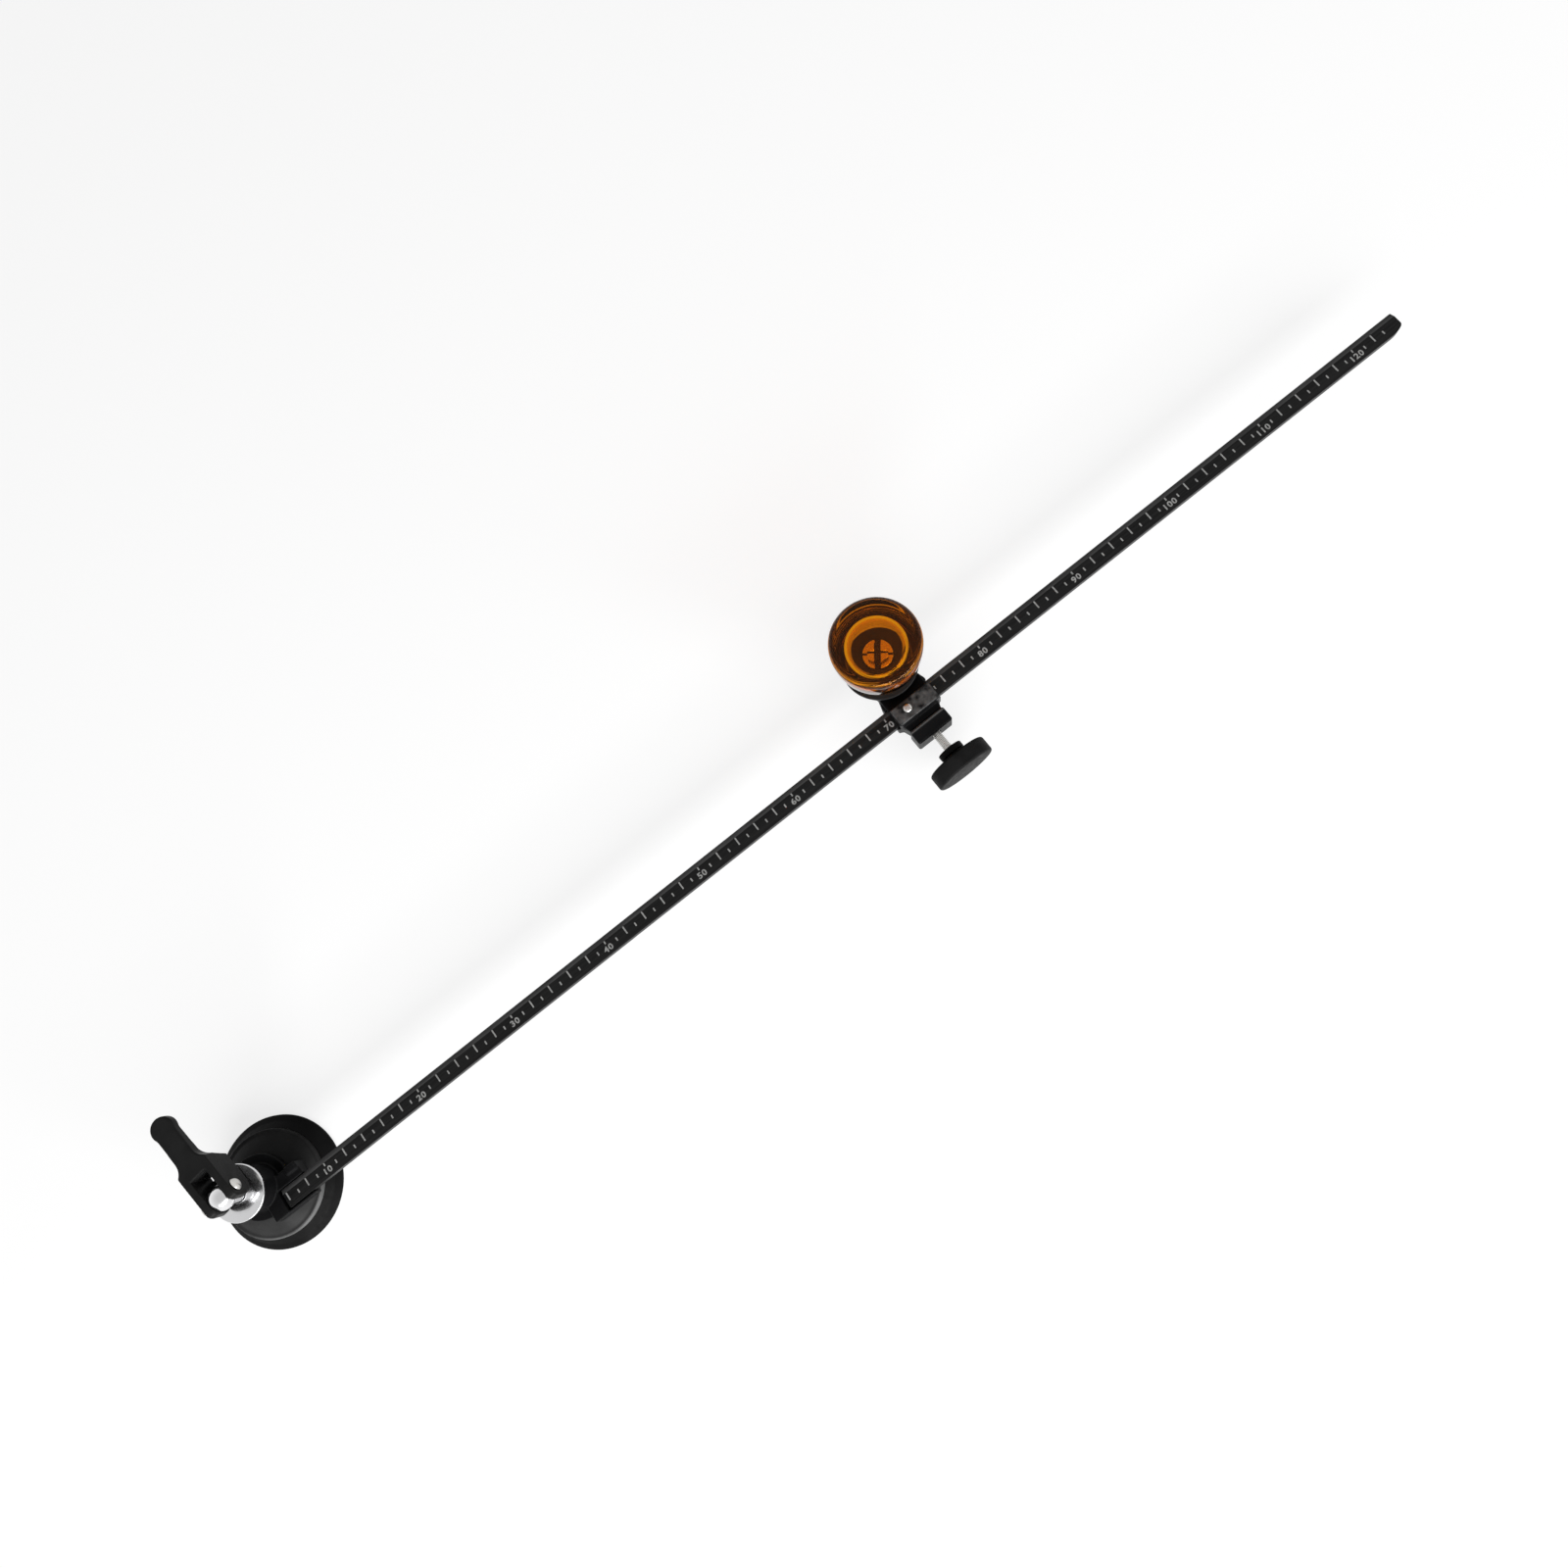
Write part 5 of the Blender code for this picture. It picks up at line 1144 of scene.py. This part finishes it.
def amber_outline(sizes):
    """Amber shell from the middle of its domed top down the grooved side and up its bore."""
    wide = (AMBER_HIGH.x - AMBER_LOW.x) / 2
    foot = AMBER_LOW.z
    grooves = round((sizes.shoulder_height / 2 - sizes.groove_first) / sizes.groove_pitch)
    top_groove = sizes.groove_first + sizes.groove_pitch * grooves
    dome = curve_between((0, AMBER_HIGH.z), (wide - sizes.crown_round, AMBER_HIGH.z - sizes.crown_rise), 2, ARC_STEPS)
    side = []
    for i in range(ARC_STEPS + 1):
        height = sizes.shoulder_height - (sizes.shoulder_height - top_groove) * i / (ARC_STEPS + 1)
        side.append((grip_side(sizes, height), foot + height))
    for i in reversed(range(grooves)):
        height = sizes.groove_first + sizes.groove_pitch * i
        half = sizes.groove_width / 2
        side.append((grip_side(sizes, height + half), foot + height + half))
        side.append((grip_side(sizes, height) - sizes.groove_depth, foot + height, half / 2))
        side.append((grip_side(sizes, height - half), foot + height - half))
    bore_top = foot + sizes.bore_height
    return [
        *dome[:-1],
        (wide, AMBER_HIGH.z - sizes.crown_rise, sizes.crown_round),
        *side,
        (sizes.foot_radius, foot, sizes.groove_width / 2),
        (sizes.bore_radius, foot, sizes.groove_depth),
        (sizes.bore_radius, bore_top, sizes.bore_round),
        (0, bore_top),
    ]


def base_outline(sizes):
    flange_top = AMBER_LOW.z - bpy.context.scene.cutter_cup.seat_gap
    flange = flange_top - sizes.base_flange
    fine = sizes.base_flange / 4
    return [
        (sizes.base_bore, BASE_HIGH.z, fine),
        (sizes.spigot, BASE_HIGH.z, fine),
        (sizes.spigot, flange_top),
        (sizes.base_radius, flange_top, fine),
        (sizes.base_radius, flange, fine),
        (sizes.base_hub, flange, fine),
        (sizes.base_hub, BASE_LOW.z, fine),
        (sizes.base_bore, BASE_LOW.z),
    ]


def post_outline(sizes):
    head = POST_HIGH.z - sizes.post_head
    return [
        (0, head + sizes.post_head / 2),
        (sizes.post_radius, head + sizes.post_head / 2),
        (sizes.post_radius, BASE_LOW.z),
        (sizes.post_thread, BASE_LOW.z),
        (sizes.post_thread, POST_LOW.z),
        (0, POST_LOW.z),
    ]


class CUTTER_OT_grip(bpy.types.Operator):
    """Amber shell, black base, brass bush and six-sided post of the grip"""

    bl_idname = "cutter.grip"
    bl_label = "Grip"

    def execute(self, context):
        sizes = context.scene.cutter_grip
        shell = as_object("amber_shell", turned(rounded(amber_outline(sizes)), GRIP_AXIS, steps=TURN_STEPS + SMALL_STEPS))
        finish_piece(shell, "amber_grip")
        base = as_object("base_flanged", turned(rounded(base_outline(sizes), closed=True), GRIP_AXIS, True))
        finish_piece(base, "grip_base")
        bush_radius = (BUSH_HIGH.x - BUSH_LOW.x) / 2
        fine = sizes.groove_depth
        bush_outline = [
            (sizes.bush_bore, BUSH_HIGH.z, fine),
            (bush_radius, BUSH_HIGH.z, fine),
            (bush_radius, BUSH_LOW.z, fine),
            (sizes.bush_bore, BUSH_LOW.z, fine),
        ]
        bush = as_object("bush_turned", turned(rounded(bush_outline, closed=True), GRIP_AXIS, True))
        self.cut_cross(bush, BUSH_HIGH.z, sizes)
        finish_piece(bush, "grip_bush", look="bush_brass")
        post = as_object("post_hexagon", turned(post_outline(sizes), GRIP_AXIS, steps=SMALL_STEPS))
        head_radius = (POST_HIGH.x - POST_LOW.x) / 2
        head = prism(hexagon(head_radius), POST_HIGH.z - sizes.post_head, POST_HIGH.z, GRIP_AXIS)
        carve(post, head, "UNION")
        self.cut_cross(post, POST_HIGH.z, sizes)
        round_edges(post, fine, 2)
        finish_piece(post, "grip_post", look="post_brass")
        return {"FINISHED"}

    def cut_cross(self, piece, top, sizes):
        """Cuts a wide and a narrow slot across a piece's top."""
        reach = sizes.base_bore
        for width, angle in ((sizes.recess_wide, CROSS_ANGLE), (sizes.recess_narrow, CROSS_ANGLE + QUARTER_TURN)):
            turn = GRIP_AXIS @ Matrix.Rotation(angle, 4, "Z")
            low = (-reach, -width / 2, top - sizes.recess_depth)
            carve(piece, box_shape(low, (reach, width / 2, top + width), turn))


# Clamp


def knob_outline(sizes):
    """Round head along the clamp axis, from its front face back to the collar."""
    front = -KNOB_LOW.y
    back = -KNOB_HIGH.y
    radius = (KNOB_HIGH.x - KNOB_LOW.x) / 2
    disc = front - sizes.disc_thickness
    waist = back + sizes.collar_length
    flare = []
    for i in range(ARC_STEPS + 1):
        angle = QUARTER_TURN * i / ARC_STEPS
        across = sizes.flare_radius - (sizes.flare_radius - sizes.waist) * math.sin(angle)
        flare.append((across, disc - sizes.flare_length * (1 - math.cos(angle))))
    return [
        (0, front),
        (radius, front, sizes.disc_round),
        (radius, disc, sizes.disc_round),
        *flare,
        (sizes.collar, waist, sizes.edge),
        (sizes.collar, back, sizes.edge),
        (0, back),
    ]


def thread_shape(sizes):
    """Screw thread from the shoe to the head: a V turned and drawn along the clamp axis."""
    start = -SCREW_HIGH.y
    finish_at = -SCREW_LOW.y
    turns = int((finish_at - start) / sizes.thread_pitch)
    root = sizes.thread_radius - sizes.thread_depth
    crest = sizes.thread_radius
    flat = sizes.thread_pitch / 8
    shape = bmesh.new()
    ridge = [
        (root, 0), (root, flat), (crest, sizes.thread_pitch / 2 - flat / 2),
        (crest, sizes.thread_pitch / 2 + flat / 2), (root, sizes.thread_pitch - flat), (root, sizes.thread_pitch),
    ]
    verts = [shape.verts.new((radius, 0, start + height)) for radius, height in ridge]
    edges = [shape.edges.new(pair) for pair in zip(verts, verts[1:])]
    steps = SMALL_STEPS // 2 * (turns - 1)
    rise = sizes.thread_pitch * (turns - 1) / steps
    bmesh.ops.spin(
        shape, geom=verts + edges, cent=(0, 0, 0), axis=(0, 0, 1), dvec=(0, 0, rise),
        angle=FULL_TURN * (turns - 1), steps=steps, use_merge=False, use_duplicate=False,
    )
    bmesh.ops.remove_doubles(shape, verts=shape.verts, dist=WELD)
    bmesh.ops.holes_fill(shape, edges=shape.edges, sides=0)
    bmesh.ops.recalc_face_normals(shape, faces=shape.faces)
    shape.transform(CLAMP_AXIS)
    return shape


class CUTTER_OT_clamp(bpy.types.Operator):
    """Threaded clamp screw and its round head"""

    bl_idname = "cutter.clamp"
    bl_label = "Clamp screw"

    def execute(self, context):
        sizes = context.scene.cutter_clamp
        screw = as_object("screw_threaded", thread_shape(sizes))
        finish_piece(screw, "clamp_screw")
        knob = as_object("knob_disc", turned(rounded(knob_outline(sizes)), CLAMP_AXIS))
        bore = sizes.thread_radius + context.scene.cutter_cup.seat_gap
        end = -SCREW_LOW.y + context.scene.cutter_cup.seat_gap
        hole = [(0, end), (bore, end), (bore, -KNOB_HIGH.y - bore), (0, -KNOB_HIGH.y - bore)]
        carve(knob, turned(hole, CLAMP_AXIS, steps=SMALL_STEPS))
        finish_piece(knob, "clamp_knob", look="knob_plastic")
        return {"FINISHED"}


# Nodes that stay as the CAD made them


class CUTTER_OT_hidden(bpy.types.Operator):
    """Materials of the nodes that stay as they are: insert, bush, axle and shoe"""

    bl_idname = "cutter.hidden"
    bl_label = "Inner pieces"

    def execute(self, context):
        for node in ("pad_insert", "pivot_bush", "wheel_axle", "clamp_shoe"):
            materials = frame["nodes"][node].data.materials
            materials.clear()
            materials.append(finish(SLOT_OF[node]))
        return {"FINISHED"}


# Stage


def area_light(name, place, target, size, power):
    data = bpy.data.lights.new(name, "AREA")
    data.shape = "RECTANGLE"
    data.size = size[0]
    data.size_y = size[1]
    data.energy = power
    lamp = bpy.data.objects.new(name, data)
    lamp.location = place
    lamp.rotation_euler = (Vector(place) - Vector(target)).to_track_quat("Z", "Y").to_euler()
    bpy.context.scene.collection.objects.link(lamp)
    return lamp


def seen_rays(tree):
    """1 for rays from the camera, from shiny surfaces and through the amber, else 0."""
    rays = tree.nodes.new("ShaderNodeLightPath")
    share = rays.outputs["Is Camera Ray"]
    for name in ("Is Glossy Ray", "Is Transmission Ray"):
        either = tree.nodes.new("ShaderNodeMath")
        either.operation = "MAXIMUM"
        tree.links.new(share, either.inputs[0])
        tree.links.new(rays.outputs[name], either.inputs[1])
        share = either.outputs["Value"]
    return share


def seen_strength(tree, unseen, seen, socket):
    strength = tree.nodes.new("ShaderNodeMapRange")
    strength.inputs["To Min"].default_value = unseen
    strength.inputs["To Max"].default_value = seen
    tree.links.new(seen_rays(tree), strength.inputs["Value"])
    tree.links.new(strength.outputs["Result"], socket)


def floor_material(colours):
    """Pale matte floor that keeps the shadow and looks white where no shadow falls."""
    material, tree, shader, coords = start_material("floor_matte")
    shade_between(
        tree, noise(tree, coords, 3, 2), times(colours.floor, 0.99), colours.floor, shader.inputs["Base Color"]
    )
    shader.inputs["Roughness"].default_value = 0.9
    shader.inputs["Specular IOR Level"].default_value = 0.1
    shader.inputs["Emission Color"].default_value = (1, 1, 1, 1)
    seen_strength(tree, 0, 0.77, shader.inputs["Emission Strength"])
    return material


def white_world():
    """White wherever it is seen, and a soft even light."""
    world = bpy.data.worlds.new("studio")
    bpy.context.scene.world = world
    world.use_nodes = True
    tree = world.node_tree
    tree.nodes["Background"].inputs["Color"].default_value = (1, 1, 1, 1)
    seen_strength(tree, 0.12, 1, tree.nodes["Background"].inputs["Strength"])


class CUTTER_OT_stage(bpy.types.Operator):
    """Floor, lights and the camera at the photograph's view"""

    bl_idname = "cutter.stage"
    bl_label = "Stage"

    def execute(self, context):
        sizes = context.scene.cutter_stage
        half = sizes.floor_size / 2
        shape = bmesh.new()
        bmesh.ops.create_grid(shape, x_segments=1, y_segments=1, size=half)
        floor = as_object("floor", shape)
        floor.data.materials.append(floor_material(context.scene.cutter_finish))
        white_world()
        target = ((CAD_BOX[0][0] + CAD_BOX[1][0]) / 2, 0, 0)
        area_light("front_bank", (0.20, -1.50, 0.72), target, (2.4, 0.60), 44)
        data = bpy.data.cameras.new("camera")
        data.lens = sizes.camera_lens
        data.sensor_width = 36
        data.clip_start = 0.01
        camera = bpy.data.objects.new("camera", data)
        camera.location = sizes.camera_place
        camera.rotation_euler = sizes.camera_turn
        context.scene.collection.objects.link(camera)
        context.scene.camera = camera
        context.scene.view_settings.view_transform = "Standard"
        return {"FINISHED"}


OPERATORS = (
    CUTTER_OT_cup,
    CUTTER_OT_lever,
    CUTTER_OT_arm,
    CUTTER_OT_carriage,
    CUTTER_OT_wheel,
    CUTTER_OT_grip,
    CUTTER_OT_clamp,
    CUTTER_OT_hidden,
    CUTTER_OT_stage,
)


class CUTTER_PT_panel(bpy.types.Panel):
    bl_label = "Circle cutter"
    bl_idname = "CUTTER_PT_panel"
    bl_space_type = "VIEW_3D"
    bl_region_type = "UI"
    bl_category = "Cutter"

    def draw(self, context):
        for operator in OPERATORS:
            self.layout.operator(operator.bl_idname)
        for name, group in SETTINGS.items():
            box = self.layout.box()
            for key in group.__annotations__:
                box.prop(getattr(context.scene, name), key)


CLASSES = (*SETTINGS.values(), *OPERATORS, CUTTER_PT_panel)


def register():
    for item in CLASSES:
        bpy.utils.register_class(item)
    for name, group in SETTINGS.items():
        setattr(bpy.types.Scene, name, PointerProperty(type=group))


def unregister():
    for name in SETTINGS:
        delattr(bpy.types.Scene, name)
    for item in reversed(CLASSES):
        bpy.utils.unregister_class(item)


def main():
    register()
    bpy.ops.cutter.cup()
    bpy.ops.cutter.lever()
    bpy.ops.cutter.arm()
    bpy.ops.cutter.carriage()
    bpy.ops.cutter.wheel()
    bpy.ops.cutter.grip()
    bpy.ops.cutter.clamp()
    bpy.ops.cutter.hidden()
    bpy.ops.cutter.stage()


if __name__ == "__main__":
    main()
